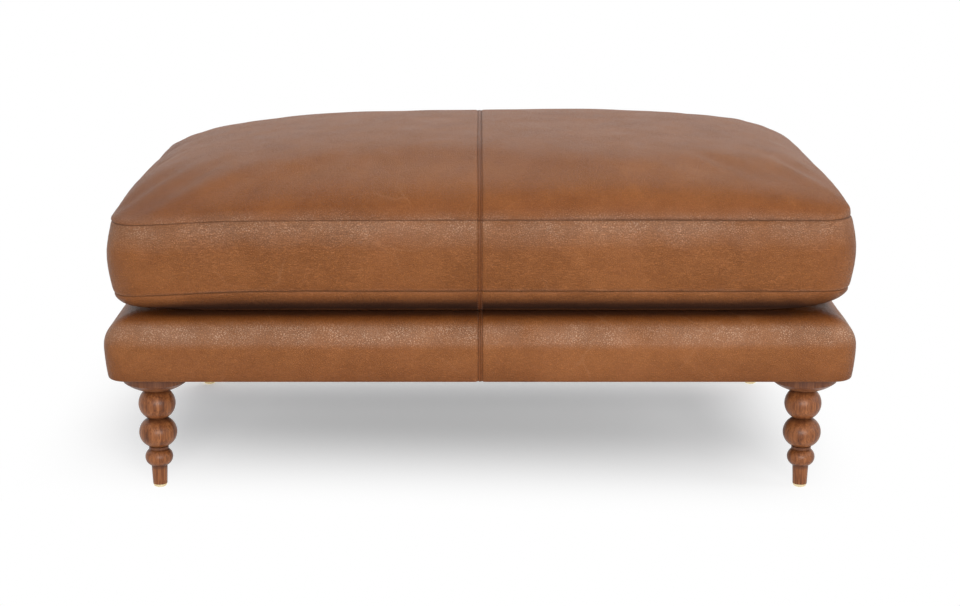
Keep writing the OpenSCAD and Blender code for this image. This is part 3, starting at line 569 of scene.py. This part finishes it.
def outwards(x, y, size):
    # Direction straight out of a rounded rectangle from a point on its edge
    overX = max(0, abs(x) - (size["halfX"] - size["corner"]))
    overY = max(0, abs(y) - (size["halfY"] - size["corner"]))
    if overX < 1e-6 and overY < 1e-6:
        overY = 1
    return Vector((math.copysign(overX, x), math.copysign(overY, y), 0)).normalized()


def placeCopies(name, model, places):
    # One piece of many copies of a small model, each with its own mesh
    copies = []
    for place in places:
        copy = model.copy()
        copy.data = model.data.copy()
        copy.matrix_world = place
        bpy.context.scene.collection.objects.link(copy)
        copies.append(copy)
    bpy.data.objects.remove(model)
    makeActive(copies[0])
    for copy in copies:
        copy.select_set(True)
    bpy.ops.object.join()
    piece = bpy.context.active_object
    piece.name = piece.data.name = name
    bpy.ops.object.transform_apply(location=True, rotation=True, scale=True)
    print(name, "ready:", len(places), "copies")
    return piece


def turned(degrees):
    return Matrix.Rotation(math.radians(degrees), 4, "Z")


def spotsAround(halfX, halfY, pitch):
    # Even spots along the sides of a rectangle: place, angle of the side, which of the two, and how far along
    for half, other, turn in ((halfX, halfY, 0), (halfY, halfX, 90)):
        count = round(2 * half / pitch)
        for side in (-1, 1):
            for i in range(count):
                along = -half + 2 * half * (i + 0.5) / count
                yield turned(turn) @ Vector((along, side * other, 0)), turn, side, along


# Seam rows: distance from the seam, and how far the leather is drawn in there, in metres
seamRows = [(0, 0.0013), (0.0008, 0.0005), (0.0020, -0.0001), (0.0050, -0.0003), (0.0100, 0)]
# Topstitched strip down the middle: distance from its middle, and how far the leather is drawn in
stripRows = [(0, 0.0005), (0.0013, 0.0005), (0.0023, 0.0008), (0.0028, 0.0017), (0.0033, 0.0007),
             (0.0055, -0.0001), (0.0110, 0)]


def drawnIn(distance, rows):
    for (near, first), (far, second) in zip(rows, rows[1:]):
        if distance <= far + 1e-6:
            return first + (second - first) * max(0, distance - near) / (far - near)
    return 0


def onStrip(middle):
    # 1 on the topstitched strip, by the distance from the middle of the piece
    return faded(middle, 1, 0.0025, 0.0036)


def besideStrip(middle):
    # 1 in the two seams along the strip
    return faded(abs(middle - 0.0028), 1, 0.0001, 0.0006)


# Cushion

cushionSize = {
    "halfX": 0.505, "halfY": 0.318, "corner": 0.042,
    "lowerSeam": 0.2975, "upperSeam": 0.397,
    # The crown is squarer at its right end than at its left
    "crown": 0.0800, "crownPower": 2.7, "depthPower": 2.75, "leftRound": 0.515, "rightRound": 0.30,
    "puff": 0.013, "rightPuff": 0.006,           # how far the crown bulges out at its sides
    "under": 0.0349, "underPower": 9, "underSpread": 1.28,
    "swell": 0.0072, "drawIn": 0.003, "rightOut": 0.0038,
    "step": 0.0125,          # distance between two rows of vertices
    "zipHeight": 0.3485, "zipDepth": 0.0074, "zipEnd": 0.4578,
    "slotRows": [0.0085, 0.0068, 0.0058, 0.0052],    # rows above and below the middle of the zip
    "waves": (0.0011, 7), "ripples": (0.0005, 19),   # unevenness of the filling: depth and scale
    "pucker": (0.0011, 0.0004), "puckerScale": 52, "puckerReach": 0.016,     # over the upper and the lower seam
    "droop": 0.0080, "droopReach": (0.12, 0.10),     # how far the front left corner sinks, and along what
}

# How rubbed the leather is, with a painted highlight along the upper seam and a painted shadow under the
# cushion: strength, and the distances from a seam between which it fades, in metres
cushionWearAndLight = {
    "crown": (0.60, 0.002, 0.016), "boxing": (0.85, 0.006, 0.040), "foot": (0.35, 0.0010, 0.0050),
    # Below the lower seam it turns under and gets a painted shadow, less where it rests on the deck and at the
    # corners
    "fold": (0.001, 0.024), "restStart": (0.0275, 0.0345), "rest": 0.62, "corner": 0.45,
}

clothRun = {
    "voxel": 0.008, "frames": 20, "cap": 0.006,
    # A negative shrink lets the leather pucker along its seams
    "settings": {
        "quality": 5, "mass": 0.5, "shrink_min": -0.006, "vertex_group_mass": "held",
        "tension_stiffness": 22, "compression_stiffness": 22, "shear_stiffness": 12, "bending_stiffness": 1.2,
        "use_pressure": True, "uniform_pressure_force": 4.0,
    },
}


def crownShare(share, power):
    return math.sqrt(max(0, 1 - abs(share) ** power))


def crownRise(s, t, size):
    bend = size["leftRound"] + (size["rightRound"] - size["leftRound"]) * smoothStep(s, -0.6, 0.6)
    across = max(0, 1 - abs(s) ** size["crownPower"])
    along = max(0, 1 - abs(t) ** size["depthPower"])
    return (across * along) ** bend


def evenShares(half, height, power, step, middleRows):
    # Shares of the half width, even along the crown's curve and close together at the seam
    samples = 3000
    points = []
    for i in range(samples, -1, -1):
        share = 1 - (1 - i / samples) ** 2
        points.append((share, share * half, height * crownShare(share, power)))
    fromSeam = [0]
    for (_, x0, z0), (_, x1, z1) in zip(points, points[1:]):
        fromSeam.append(fromSeam[-1] + math.hypot(x1 - x0, z1 - z0))
    places = [row[0] for row in seamRows]
    start = places[-1]
    length = fromSeam[-1] - start - (middleRows[-1] if middleRows else 0)
    count = max(1, round(length / step))
    places += [start + length * (i + 1) / count for i in range(count)]
    shares = []
    j = 0
    for place in places:
        while j < samples - 1 and fromSeam[j + 1] < place:
            j += 1
        part = (place - fromSeam[j]) / (fromSeam[j + 1] - fromSeam[j])
        a, b = points[j][0], points[j + 1][0]
        shares.append(a + (b - a) * min(1, part))
    shares = ([row / half for row in middleRows] or [0]) + shares[-2::-1]
    shares[-1] = 1
    return shares


def planPoint(s, t, size):
    y = t * size["halfY"]
    edge = edgeX(y, size)
    return s * size["halfX"] - (size["halfX"] - edge) * signedPower(s, 4), y


def drawSides(x, y, size):
    # The front and the sides are drawn in between the corners
    s = max(-1, min(1, x / size["halfX"]))
    t = y / size["halfY"]
    along = min(1, abs(y) / (size["halfY"] - size["corner"]))
    # The right side is filled a little further out
    newX = x - size["drawIn"] * s * (1 - along ** 2) + size["rightOut"] * max(0, s) ** 6
    newY = y + (-t * size["drawIn"] * (1 - s * s) if t < 0 else 0)
    return newX, newY


def levelsBetween(start, end, step):
    count = max(1, round((start - end) / step))
    return [start - (start - end) * (i + 1) / count for i in range(count)]


def boxingLevels(size):
    # Heights of the boxing's rows from the upper seam down, close together at the seams and the zip
    rows = [row[0] for row in seamRows]
    upper = [size["upperSeam"] - row for row in rows]
    slot = size["slotRows"] + [0] + [-row for row in reversed(size["slotRows"])]
    slot = [size["zipHeight"] + row for row in slot]
    lower = [size["lowerSeam"] + row for row in reversed(rows)]
    return upper + levelsBetween(upper[-1], slot[0], size["step"]) + slot[1:] + \
        levelsBetween(slot[-1], lower[0], size["step"]) + lower[1:]


def clothMoves(piece, held, run):
    # Blows up an even copy of the piece and returns a tree of its points with how far each one moved
    scene = bpy.context.scene
    proxy = piece.copy()
    proxy.data = piece.data.copy()
    scene.collection.objects.link(proxy)
    remesh = proxy.modifiers.new("Remesh", "REMESH")
    remesh.mode = "VOXEL"
    remesh.voxel_size = run["voxel"]
    applyModifiers(proxy)
    rest = [vertex.co.copy() for vertex in proxy.data.vertices]
    group = proxy.vertex_groups.new(name="held")
    for i, place in enumerate(rest):
        weight = held(place)
        if weight > 0:
            group.add([i], weight, "REPLACE")
    cloth = proxy.modifiers.new("Cloth", "CLOTH")
    for name, value in run["settings"].items():
        setattr(cloth.settings, name, value)
    cloth.settings.effector_weights.gravity = 0
    cloth.point_cache.frame_end = run["frames"]
    for number in range(1, run["frames"] + 1):
        scene.frame_set(number)
    shaped = proxy.evaluated_get(bpy.context.evaluated_depsgraph_get())
    moves = [vertex.co - place for vertex, place in zip(shaped.data.vertices, rest)]
    for i, move in enumerate(moves):
        if move.length > 1e-9:
            moves[i] = move * (run["cap"] * math.tanh(move.length / run["cap"]) / move.length)
    tree = KDTree(len(rest))
    for i, place in enumerate(rest):
        tree.insert(place, i)
    tree.balance()
    scene.frame_set(1)
    bpy.data.objects.remove(proxy)
    return tree, moves


def moveAt(tree, moves, place):
    total, weights = Vector((0, 0, 0)), 0
    for _, i, distance in tree.find_n(place, 8):
        weight = 1 / (distance + 0.002) ** 2
        total += moves[i] * weight
        weights += weight
    return total / weights


def nearCorner(x, y):
    return smoothStep(abs(x), 0.425, 0.485) * smoothStep(abs(y), 0.22, 0.29)


def seamGap(z, size):
    # Height above or below the nearest of the cushion's two seams
    return min(abs(z - size["upperSeam"]), abs(z - size["lowerSeam"]))


def besideZip(place, reach, size):
    return place.y > size["halfY"] - 0.012 and abs(place.z - size["zipHeight"]) < reach


def wearAndLightCushion(x, y, z, size):
    # Pale along the upper seam, rubbed with a painted highlight; painted shadow where it turns under below the
    # lower one
    below = size["upperSeam"] - z
    above = z - size["lowerSeam"]
    paint = cushionWearAndLight
    if below < 0:
        return faded(-below, *paint["crown"])
    if above > 0:
        return faded(below, *paint["boxing"]) + faded(above, *paint["foot"])
    gapShadow = smoothStep(-above, *paint["fold"]) - paint["rest"] * smoothStep(-above, *paint["restStart"])
    return -gapShadow * (1 - paint["corner"] * nearCorner(x, y))


def shadeCushion(x, z, size):
    # Painted light and shade: deeper where the crown begins, paler on the boxing and on top
    above = z - size["upperSeam"]
    if above > 0:
        return 0.145 * smoothStep(above, 0.008, 0.060) + faded(above, 0.03, 0.002, 0.009) - 0.01
    low = faded(z, 1, size["lowerSeam"] - 0.01, size["lowerSeam"] + 0.03)
    return 0.15 - 0.05 * low - 0.05 * smoothStep(x, 0.36, 0.48)


def cutCushion(size):
    # Upper and lower panels with the boxing between them
    sharesX = mirrored(evenShares(size["halfX"], size["crown"], size["crownPower"], size["step"],
                                  [row[0] for row in stripRows]))
    sharesY = mirrored(evenShares(size["halfY"], size["crown"], size["depthPower"], size["step"], []))
    columns, rows = len(sharesX), len(sharesY)
    top = addGrid("cushion_cover", columns - 1, rows - 1)
    under = addGrid("cushion_under", columns - 1, rows - 1)
    for i in range(columns * rows):
        s, t = sharesX[i % columns], sharesY[i // columns]
        x, y = planPoint(s, t, size)
        rise = crownRise(s, t, size)
        # Only the upper panel bulges, most a little above its seam
        puff = size["rightPuff"] if s > 0 else size["puff"]
        puff *= math.sin(math.pi * min(1, rise / 0.8)) * signedPower(s, 9)
        drop = size["underSpread"] * crownShare(s, size["underPower"]) * crownShare(t, size["underPower"])
        top.data.vertices[i].co = (x + puff, y, size["upperSeam"] + size["crown"] * rise)
        under.data.vertices[i].co = (x, y, size["lowerSeam"] - size["under"] * min(1, drop))
    levels = boxingLevels(size)
    extrudeBorder(top, [a - b for a, b in zip(levels, levels[1:])])
    makeActive(top)
    under.select_set(True)
    bpy.ops.object.join()
    editAll()
    bpy.ops.mesh.remove_doubles(threshold=0.00002)
    bpy.ops.mesh.normals_make_consistent(inside=False)
    leaveEdit()
    print("cushion cut:", len(top.data.vertices), "points")
    return top


def swellBoxing(x, y, z, atBack, size):
    # The boxing bulges out, and the zip lies in a slot in its back
    outward = outwards(x, y, size)
    rise = (z - size["lowerSeam"]) / (size["upperSeam"] - size["lowerSeam"])
    bulge = size["swell"] * max(0, math.sin(math.pi * rise)) ** (1.0 if rise > 0.5 else 0.75)
    x += outward.x * bulge
    y += outward.y * bulge
    if atBack and abs(z - size["zipHeight"]) < 0.0055 and abs(x) < size["zipEnd"]:
        y -= size["zipDepth"]
    return x, y


def shapeCushion(top, size):
    # Marks the leather and swells the boxing. Returns how far each point is drawn in at the seams
    marks, insets = [], []
    for vertex in top.data.vertices:
        x, y, z = vertex.co
        height = seamGap(z, size)
        boxing = size["lowerSeam"] + 1e-5 < z < size["upperSeam"] - 1e-5
        onBorder = abs(abs(x) - edgeX(y, size)) < 1e-5 or abs(abs(y) - size["halfY"]) < 1e-5
        atBack = boxing and y > size["halfY"] - 1e-4
        # The crown stands upright at its seam, so there the height above it is the distance
        inset = drawnIn(height, seamRows)
        dark = faded(height, 1, 0.0002, 0.0010)
        if z < size["zipHeight"]:
            dark *= 0.6
        # The strip doesn't run over the back boxing, which has its own seams at the corners
        middle = 1 if atBack else abs(x)
        inset += drawnIn(middle, stripRows)
        dark = max(dark, besideStrip(middle))
        if atBack:
            gap = abs(abs(x) - (size["halfX"] - size["corner"]))
            inset += drawnIn(gap, seamRows)
            dark = max(dark, faded(gap, 1, 0.0003, 0.0013))
        insets.append(inset)
        number = 1 if x > 0 else 0
        if boxing:
            number += 4 if atBack else 2
        elif z < size["lowerSeam"] - 1e-5:
            number += 6
        sides = 1 - 0.8 * smoothStep(z, size["upperSeam"], size["upperSeam"] + 0.012)
        marks.append((dark, onStrip(middle), number, wearAndLightCushion(x, y, z, size),
                      shadeCushion(x, z, size), sides))
        if boxing or (onBorder and height < 1e-5):
            x, y = swellBoxing(x, y, z, atBack, size)
        vertex.co = (*drawSides(x, y, size), z)
    setMarks(top, marks)
    return insets


def fillCushion(top, size):
    def held(place):
        resting = place.z < size["lowerSeam"] - size["under"] + 0.002
        return 1 if seamGap(place.z, size) < 0.0045 or besideZip(place, 0.014, size) or resting else 0

    tree, moves = clothMoves(top, held, clothRun)
    for vertex in top.data.vertices:
        vertex.co += moveAt(tree, moves, vertex.co)
    print("cushion filled")


def drawSeams(top, insets, size):
    # Soft unevenness of the filling, puckers along the seams, the seams' grooves and the sunk corner
    mesh = top.data
    mesh.update()
    normals = [vertex.normal.copy() for vertex in mesh.vertices]
    upper, lower = size["pucker"]
    scale, reach = size["puckerScale"], size["puckerReach"]
    for vertex, normal, inset in zip(mesh.vertices, normals, insets):
        place = vertex.co.copy()
        resting = faded(place.z, 1, size["lowerSeam"] - size["under"], size["lowerSeam"] - 0.012)
        waves = unevenness(place, size["waves"], size["ripples"], (3, 1, 4))
        # The strips lie flat along the zip, clear of its slider and pull
        if besideZip(place, 0.012, size):
            waves = -0.0003
        near = seamGap(place.z, size)
        depth = upper if place.z > size["zipHeight"] else lower
        pucker = noise.noise(Vector((place.x * scale, place.y * scale, near * 9)))
        pucker *= math.exp(-(near / reach) ** 2) * depth
        vertex.co += normal * (waves + pucker) * (1 - resting) - normal * inset * (1 - 0.7 * resting)
        fromLeft = (place.x + size["halfX"]) / size["droopReach"][0]
        fromFront = (place.y + size["halfY"]) / size["droopReach"][1]
        corner = math.exp(-fromLeft ** 2 - fromFront ** 2)
        vertex.co.z -= size["droop"] * corner * smoothStep(place.z, 0.2640, 0.2820)


def makeCushion():
    top = cutCushion(cushionSize)
    insets = shapeCushion(top, cushionSize)
    fillCushion(top, cushionSize)
    drawSeams(top, insets, cushionSize)
    subdivide(top)
    applyModifiers(top)
    bpy.ops.object.shade_smooth()
    setMaterial(top, leather)
    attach(top, "cushion")
    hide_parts("cushion_top_left", "cushion_top_right", "cushion_boxing_left", "cushion_boxing_right",
                "cushion_zip_strip_upper", "cushion_zip_strip_lower", "cushion_underside_left",
                "cushion_underside_right", "cushion_foam", "cushion_fibre_wrap")
    print("cushion ready:", len(top.data.polygons), "faces")
    return top


cushion = makeCushion()


# Base

baseSize = {
    "halfX": 0.520, "halfY": 0.330, "corner": 0.035, "innerCorner": 0.012,
    "bottom": 0.1758, "edgeBottom": 0.1724, "deck": 0.262, "rollWidth": 0.050, "rollHeight": 0.044,
    "tuckSide": 0.0046, "tuckFront": 0.0012,     # how far the faces go in towards their bottom edge
    "edge": 0.0026,          # radius of the bottom edge
    "flange": 0.030, "lip": 0.090, "leather": 0.0014,
    "step": 0.013,
    "waves": (0.0009, 8), "ripples": (0.0004, 23),   # unevenness of the padding: depth and scale
}


def baseProfile(size):
    # Inset from the outline, height and share of the tuck, from the flange's inner edge up round to the deck
    low, edge = size["edgeBottom"], size["edge"]
    rows = [(size["flange"], size["bottom"], 0), (0.022, size["bottom"], 0),
            (0.015, size["bottom"] - 0.0002, 0.5)]
    for i in range(5):
        turn = math.radians(90 * i / 4)
        rows.append((edge - edge * math.sin(turn), low + edge - edge * math.cos(turn), 1))
    rollStart = size["deck"] - size["rollHeight"]
    for i in range(1, 6):
        share = i / 6
        rows.append((0, low + edge + (rollStart - low - edge) * share, (1 - share) ** 1.8))
    for i in range(12):
        turn = math.radians(90 * i / 11)
        rows.append((size["rollWidth"] * (1 - math.cos(turn)),
                     rollStart + size["rollHeight"] * math.sin(turn), 0))
    rows += [(inset, size["deck"], 0) for inset in (0.060, 0.072, 0.082)]
    return rows + [(0.0875, size["deck"] - 0.0002, 0), (size["lip"], size["deck"] - 0.0009, 0)]


# How rubbed the roll is, with a painted highlight, and its painted shadow under the cushion: strengths, and
# where they change, in metres
baseWearAndLight = {
    "rubbedAndHighlight": 1.15, "rubbedFrom": (0.218, 0.238), "middle": 0.240, "rubbedTo": (0.246, 0.254),
    "overhung": 0.78, "overhungFrom": (0.2566, 0.2610), "inwards": 0.62, "inwardsFrom": (0.042, 0.064),
    "corner": 0.6, "foot": (0.12, 0.176, 0.186),
}


def wearAndLightBase(x, y, z, inset):
    # Pale on the front of the roll, rubbed with a painted highlight; painted shadow where the cushion overhangs
    # it; darker at the bottom edge
    paint = baseWearAndLight
    if z > paint["middle"]:
        overhung = paint["overhung"] * smoothStep(z, *paint["overhungFrom"])
        overhung *= 1 - paint["corner"] * nearCorner(x, y)
        overhung *= 1 - paint["inwards"] * smoothStep(inset, *paint["inwardsFrom"])
        return faded(z, paint["rubbedAndHighlight"], *paint["rubbedTo"]) - overhung
    return paint["rubbedAndHighlight"] * smoothStep(z, *paint["rubbedFrom"]) - faded(z, *paint["foot"])


def shadeBase(z):
    # Painted light and shade: paler on the faces than at the bottom edge, and a painted shadow on the deck
    # under the cushion
    deck = smoothStep(z, 0.250, 0.260)
    return 0.11 * smoothStep(z, 0.176, 0.212) * (1 - deck) - 0.14 * deck + 0.03


def baseStations(size):
    # Shares of the half sides: even, close together at the middle seam, and round the corner
    flatX, flatY = size["halfX"] - size["corner"], size["halfY"] - size["corner"]
    middle = [row[0] for row in stripRows]
    count = round((flatX - middle[-1]) / size["step"])
    xs = middle[:-1] + [middle[-1] + (flatX - middle[-1]) * i / count for i in range(count + 1)]
    count = round(flatY / size["step"])
    ys = [flatY * i / count for i in range(count + 1)]
    ys += [flatY + size["corner"] * math.sin(math.radians(90 * i / 8)) for i in range(1, 9)]
    return mirrored(xs), mirrored(ys)


def cutBase(size, rows):
    # The outline of the base, with one row a metre down for each row of the profile
    xs, ys = baseStations(size)
    columns = len(xs)
    cover = addGrid("base_cover", columns - 1, len(ys) - 1)
    flatX = size["halfX"] - size["corner"]
    border = set()
    for i, vertex in enumerate(cover.data.vertices):
        column, row = i % columns, i // columns
        if column in (0, columns - 1) or row in (0, len(ys) - 1):
            border.add(i)
        x, y = xs[column], ys[row]
        out = edgeX(y, size) - flatX
        vertex.co = (x + math.copysign(out, x) * abs(x / flatX) ** 30, y, 0)
    makeActive(cover)
    editAll()
    bpy.ops.mesh.delete(type="ONLY_FACE")
    leaveEdit()
    shape = bmesh.new()
    shape.from_mesh(cover.data)
    inner = [vertex for vertex in shape.verts if vertex.index not in border]
    bmesh.ops.delete(shape, geom=inner, context="VERTS")
    shape.to_mesh(cover.data)
    shape.free()
    extrudeBorder(cover, [1] * (rows - 1))
    return cover


def shapeBase(cover, profile, size):
    # Lays each row in its place and marks the leather. Returns how far each point is drawn in at the seam
    marks, insets = [], []
    oldX, oldY = size["halfX"] - size["corner"], size["halfY"] - size["corner"]
    for vertex in cover.data.vertices:
        x, y, z = vertex.co
        inset, height, tuck = profile[round(-z)]
        outward = outwards(x, y, size)
        inset += tuck * (size["tuckSide"] * outward.x ** 2 + size["tuckFront"] * outward.y ** 2)
        radius = max(size["corner"] - inset, size["innerCorner"])
        flatX, flatY = size["halfX"] - inset - radius, size["halfY"] - inset - radius
        centreX = max(-oldX, min(oldX, x))
        centreY = max(-oldY, min(oldY, y))
        vertex.co = (
            centreX - (oldX - flatX) * signedPower(centreX / oldX, 3) + outward.x * radius,
            centreY - (oldY - flatY) * signedPower(centreY / oldY, 3) + outward.y * radius,
            height,
        )
        insets.append(drawnIn(abs(x), stripRows))
        number = 9 if x > 0 else 10
        sides = 0.62 - 0.4 * smoothStep(height, 0.225, 0.255)
        marks.append((besideStrip(abs(x)), onStrip(abs(x)), number, wearAndLightBase(x, y, height, inset),
                      shadeBase(height), sides))
    setMarks(cover, marks)
    makeActive(cover)
    editAll()
    bpy.ops.mesh.normals_make_consistent(inside=False)
    leaveEdit()
    return insets


def makeBaseCover():
    size = baseSize
    profile = baseProfile(size)
    cover = cutBase(size, len(profile))
    insets = shapeBase(cover, profile, size)
    cover.data.update()
    for vertex, inset in zip(cover.data.vertices, insets):
        place = vertex.co.copy()
        face = smoothStep(place.z, 0.180, 0.200) * (1 - smoothStep(place.z, 0.255, 0.2615))
        waves = unevenness(place, size["waves"], size["ripples"], (5, 2, 9))
        vertex.co += vertex.normal * (waves * face - inset)
    subdivide(cover)
    finishSheet(cover, size["leather"], -1, 50, leather)
    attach(cover, "base")
    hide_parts("base_cover_left", "base_cover_right", "rail_padding", "deck_foam", "spring_felt")
    print("base cover ready:", len(cover.data.polygons), "faces")
    return cover


baseCover = makeBaseCover()


# Topstitches

stitchSize = {
    "length": 0.0037, "radius": 0.00042, "pitch": 0.0047, "bow": 0.00035,
    "row": 0.0028,           # distance of each row from the middle seam
    "lipInset": 0.0862, "lipPitch": 0.0062,      # the row that holds the deck cloth
}


def makeStitch(size):
    # One stitch along X, its ends drawn down into the leather
    deselectAll()
    bpy.ops.mesh.primitive_uv_sphere_add(segments=6, ring_count=4, radius=size["radius"])
    stitch = bpy.context.active_object
    editAll()
    bpy.ops.transform.resize(value=(size["length"] / (2 * size["radius"]), 1, 1), center_override=(0, 0, 0))
    leaveEdit()
    for vertex in stitch.data.vertices:
        vertex.co.z -= size["bow"] * (vertex.co.x / (size["length"] / 2)) ** 2
    bpy.ops.object.shade_smooth()
    return stitch


def pathOver(piece, centre, angles, reach):
    # Points and normals where rays towards the centre, in a plane across X, meet the piece
    bpy.context.view_layer.update()
    points = []
    start, end = angles
    steps = round(abs(end - start) / 0.12)
    for i in range(steps + 1):
        turn = math.radians(start + (end - start) * i / steps)
        away = Vector((0, math.cos(turn), math.sin(turn)))
        hit, place, normal, _ = piece.ray_cast(centre + away * reach, -away)
        if hit:
            points.append((place.copy(), normal.copy()))
    return points


def alongPath(points, pitch):
    # Placements at even distances along the path, X along it and Z out of the leather
    places = []
    walked, wanted = 0, pitch / 2
    for (a, normal), (b, _) in zip(points, points[1:]):
        gap = (b - a).length
        if gap > 0.02:
            continue
        while walked + gap >= wanted and gap > 1e-7:
            spot = a.lerp(b, (wanted - walked) / gap)
            along = (b - a).normalized()
            across = normal.cross(along).normalized()
            out = along.cross(across)
            places.append(Matrix((
                (along.x, across.x, out.x, spot.x),
                (along.y, across.y, out.y, spot.y),
                (along.z, across.z, out.z, spot.z),
                (0, 0, 0, 1),
            )))
            wanted += pitch
        walked += gap
    return places


def finishStitches(name, places, body):
    piece = placeCopies(name, makeStitch(stitchSize), places)
    setMaterial(piece, thread)
    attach(piece, body)


def makeTopstitches():
    size = stitchSize
    onCushion, onBase = [], []
    for x in (-size["row"], size["row"]):
        # From under the cushion up its front and over the crown to the back seam
        path = pathOver(cushion, Vector((x, 0, 0.35)), (197, 9), 0.6)
        onCushion += alongPath(path, size["pitch"])
        for angles in ((187, 169), (-7, 11)):
            path = pathOver(baseCover, Vector((x, 0, 0.215)), angles, 0.6)
            onBase += alongPath(path, size["pitch"])
    finishStitches("cushion_topstitches", onCushion, "cushion")
    finishStitches("base_topstitches", onBase, "base")


makeTopstitches()


# Deck cloth inside the leather border, stretched and sewn under it

deckSize = {
    "halfX": 0.438, "halfY": 0.248,
    "edgeHeight": 0.2594, "rise": 0.0013,        # the foam under it lifts its middle
    "thread": 0.0007, "columns": 88, "rows": 50,
}


def makeDeckCloth():
    size = deckSize
    cloth = addGrid("deck_canvas", size["columns"], size["rows"])
    for vertex in cloth.data.vertices:
        x, y = vertex.co.x * size["halfX"], vertex.co.y * size["halfY"]
        inside = min(size["halfX"] - abs(x), size["halfY"] - abs(y))
        soft = 0.00018 * noise.noise(Vector((x * 9, y * 9, 1))) * smoothStep(inside, 0.01, 0.05)
        vertex.co = (x, y, size["edgeHeight"] + size["rise"] * smoothStep(inside, 0.006, 0.06) + soft)
    finishSheet(cloth, size["thread"], -1, 40, deckWeave)
    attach(cloth, "base")
    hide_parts("deck_cloth")
    print("deck cloth ready")


def makeLipStitches():
    # The row that sews the leather border to the deck cloth
    inset = stitchSize["lipInset"]
    places = []
    halfX, halfY = baseSize["halfX"] - inset, baseSize["halfY"] - inset
    for spot, turn, _, _ in spotsAround(halfX, halfY, stitchSize["lipPitch"]):
        spot.z = baseSize["deck"] + 0.0001
        places.append(Matrix.Translation(spot) @ turned(turn))
    finishStitches("lip_stitches", places, "base")


makeDeckCloth()
makeLipStitches()


# Dust cover under the base, with a folded hem and staples

dustSize = {
    "halfX": 0.506, "halfY": 0.316, "height": 0.1754,
    "hem": 0.012, "hemDrop": 0.0005, "sag": 0.0024, "thread": 0.0006,
    "step": 0.018,
    "stapleInset": 0.007, "stapleGap": 0.045, "stapleLength": 0.0125, "stapleWire": 0.0006,
}


def dustShares(half, size):
    # Shares of the half side: even, with two rows at the edge of the hem
    rows = [half - size["hem"] - 0.001, half - size["hem"] + 0.001, half]
    count = round(rows[0] / size["step"])
    return mirrored([rows[0] * i / count / half for i in range(count)] + [row / half for row in rows])


def dustHeight(x, y, size):
    inside = min(size["halfX"] - abs(x), size["halfY"] - abs(y))
    sag = size["sag"] * (1 - (x / size["halfX"]) ** 4) * (1 - (y / size["halfY"]) ** 4)
    sag *= smoothStep(inside, 0.02, 0.16)
    hem = faded(inside, size["hemDrop"], size["hem"] - 0.0011, size["hem"] + 0.0011)
    return size["height"] - sag - hem


def makeDustCover():
    size = dustSize
    sharesX, sharesY = dustShares(size["halfX"], size), dustShares(size["halfY"], size)
    cloth = addGrid("dust_cloth", len(sharesX) - 1, len(sharesY) - 1)
    for i, vertex in enumerate(cloth.data.vertices):
        x = sharesX[i % len(sharesX)] * size["halfX"]
        y = sharesY[i // len(sharesX)] * size["halfY"]
        ripple = 0.0002 * noise.noise(Vector((x * 30, y * 30, 4)))
        vertex.co = (x, y, dustHeight(x, y, size) + ripple)
    finishSheet(cloth, size["thread"], 0, 40, coverWeave)
    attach(cloth, "base")
    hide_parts("dust_cover")
    print("dust cover ready")


def makeStaples():
    size = dustSize
    wire = size["stapleWire"]
    deselectAll()
    bpy.ops.mesh.primitive_cube_add(size=1)
    staple = bpy.context.active_object
    editAll()
    bpy.ops.transform.resize(value=(size["stapleLength"], wire * 1.6, wire), center_override=(0, 0, 0))
    bpy.ops.mesh.bevel(offset=wire * 0.3, segments=1)
    leaveEdit()
    halfX, halfY = size["halfX"] - size["stapleInset"], size["halfY"] - size["stapleInset"]
    places = []
    for spot, turn, side, along in spotsAround(halfX, halfY, size["stapleGap"]):
        # No two staples lie quite alike
        skew = turn + 5 * noise.noise(Vector((along * 60, side * 3, turn)))
        spot.z = dustHeight(spot.x, spot.y, size) - size["thread"] / 2 - wire * 0.4
        places.append(Matrix.Translation(spot) @ turned(skew))
    staples = placeCopies("dust_staples", staple, places)
    setMaterial(staples, steel)
    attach(staples, "base")


makeDustCover()
makeStaples()


# Coils of the zip, wound round the core along the edge of each tape

coilSize = {"pitch": 0.0016, "wire": 0.00028, "stand": 0.00012, "lean": 11}


def makeZipCoils():
    size = coilSize
    low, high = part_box("zip_tape_upper")
    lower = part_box("zip_tape_lower")[1]
    # The core is as thick as the node is deep, and lies along its lower edge
    core = (high.y - low.y) / 2
    middleY = (high.y + low.y) / 2
    deselectAll()
    bpy.ops.mesh.primitive_torus_add(major_segments=9, minor_segments=3, major_radius=core + size["stand"],
                                     minor_radius=size["wire"], rotation=(0, math.radians(90), 0))
    turn = bpy.context.active_object
    bpy.ops.object.transform_apply(location=False, rotation=True, scale=False)
    count = int((high.x - low.x - 0.004) / size["pitch"])
    places = []
    for height, lean, shift in ((low.z + core, size["lean"], 0), (lower.z - core, -size["lean"], 0.5)):
        for i in range(count):
            spot = Vector((low.x + 0.002 + (i + 0.5 + shift) * size["pitch"], middleY, height))
            places.append(Matrix.Translation(spot) @ turned(lean))
    coils = placeCopies("zip_coils", turn, places)
    bpy.ops.object.shade_smooth()
    setMaterial(coils, thread)
    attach(coils, "cushion")


makeZipCoils()


# Finishes of the rigid pieces

# Endings of the nodes' names, with the material of each. The other pieces are of steel
finishes = [
    (("_leg",), legWood),
    (("_glide", "zip_stops", "zip_slider", "zip_pull"), brass),
    (("_rail", "_block", "frame_dowels"), frameWood),
    (("deck_cloth",), deckWeave),
    (("dust_cover",), coverWeave),
    (("zip_tape_upper", "zip_tape_lower"), zipWeave),
]

for name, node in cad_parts.items():
    if not node.hide_render:
        setMaterial(node, next((finish for endings, finish in finishes if name.endswith(endings)), steel))
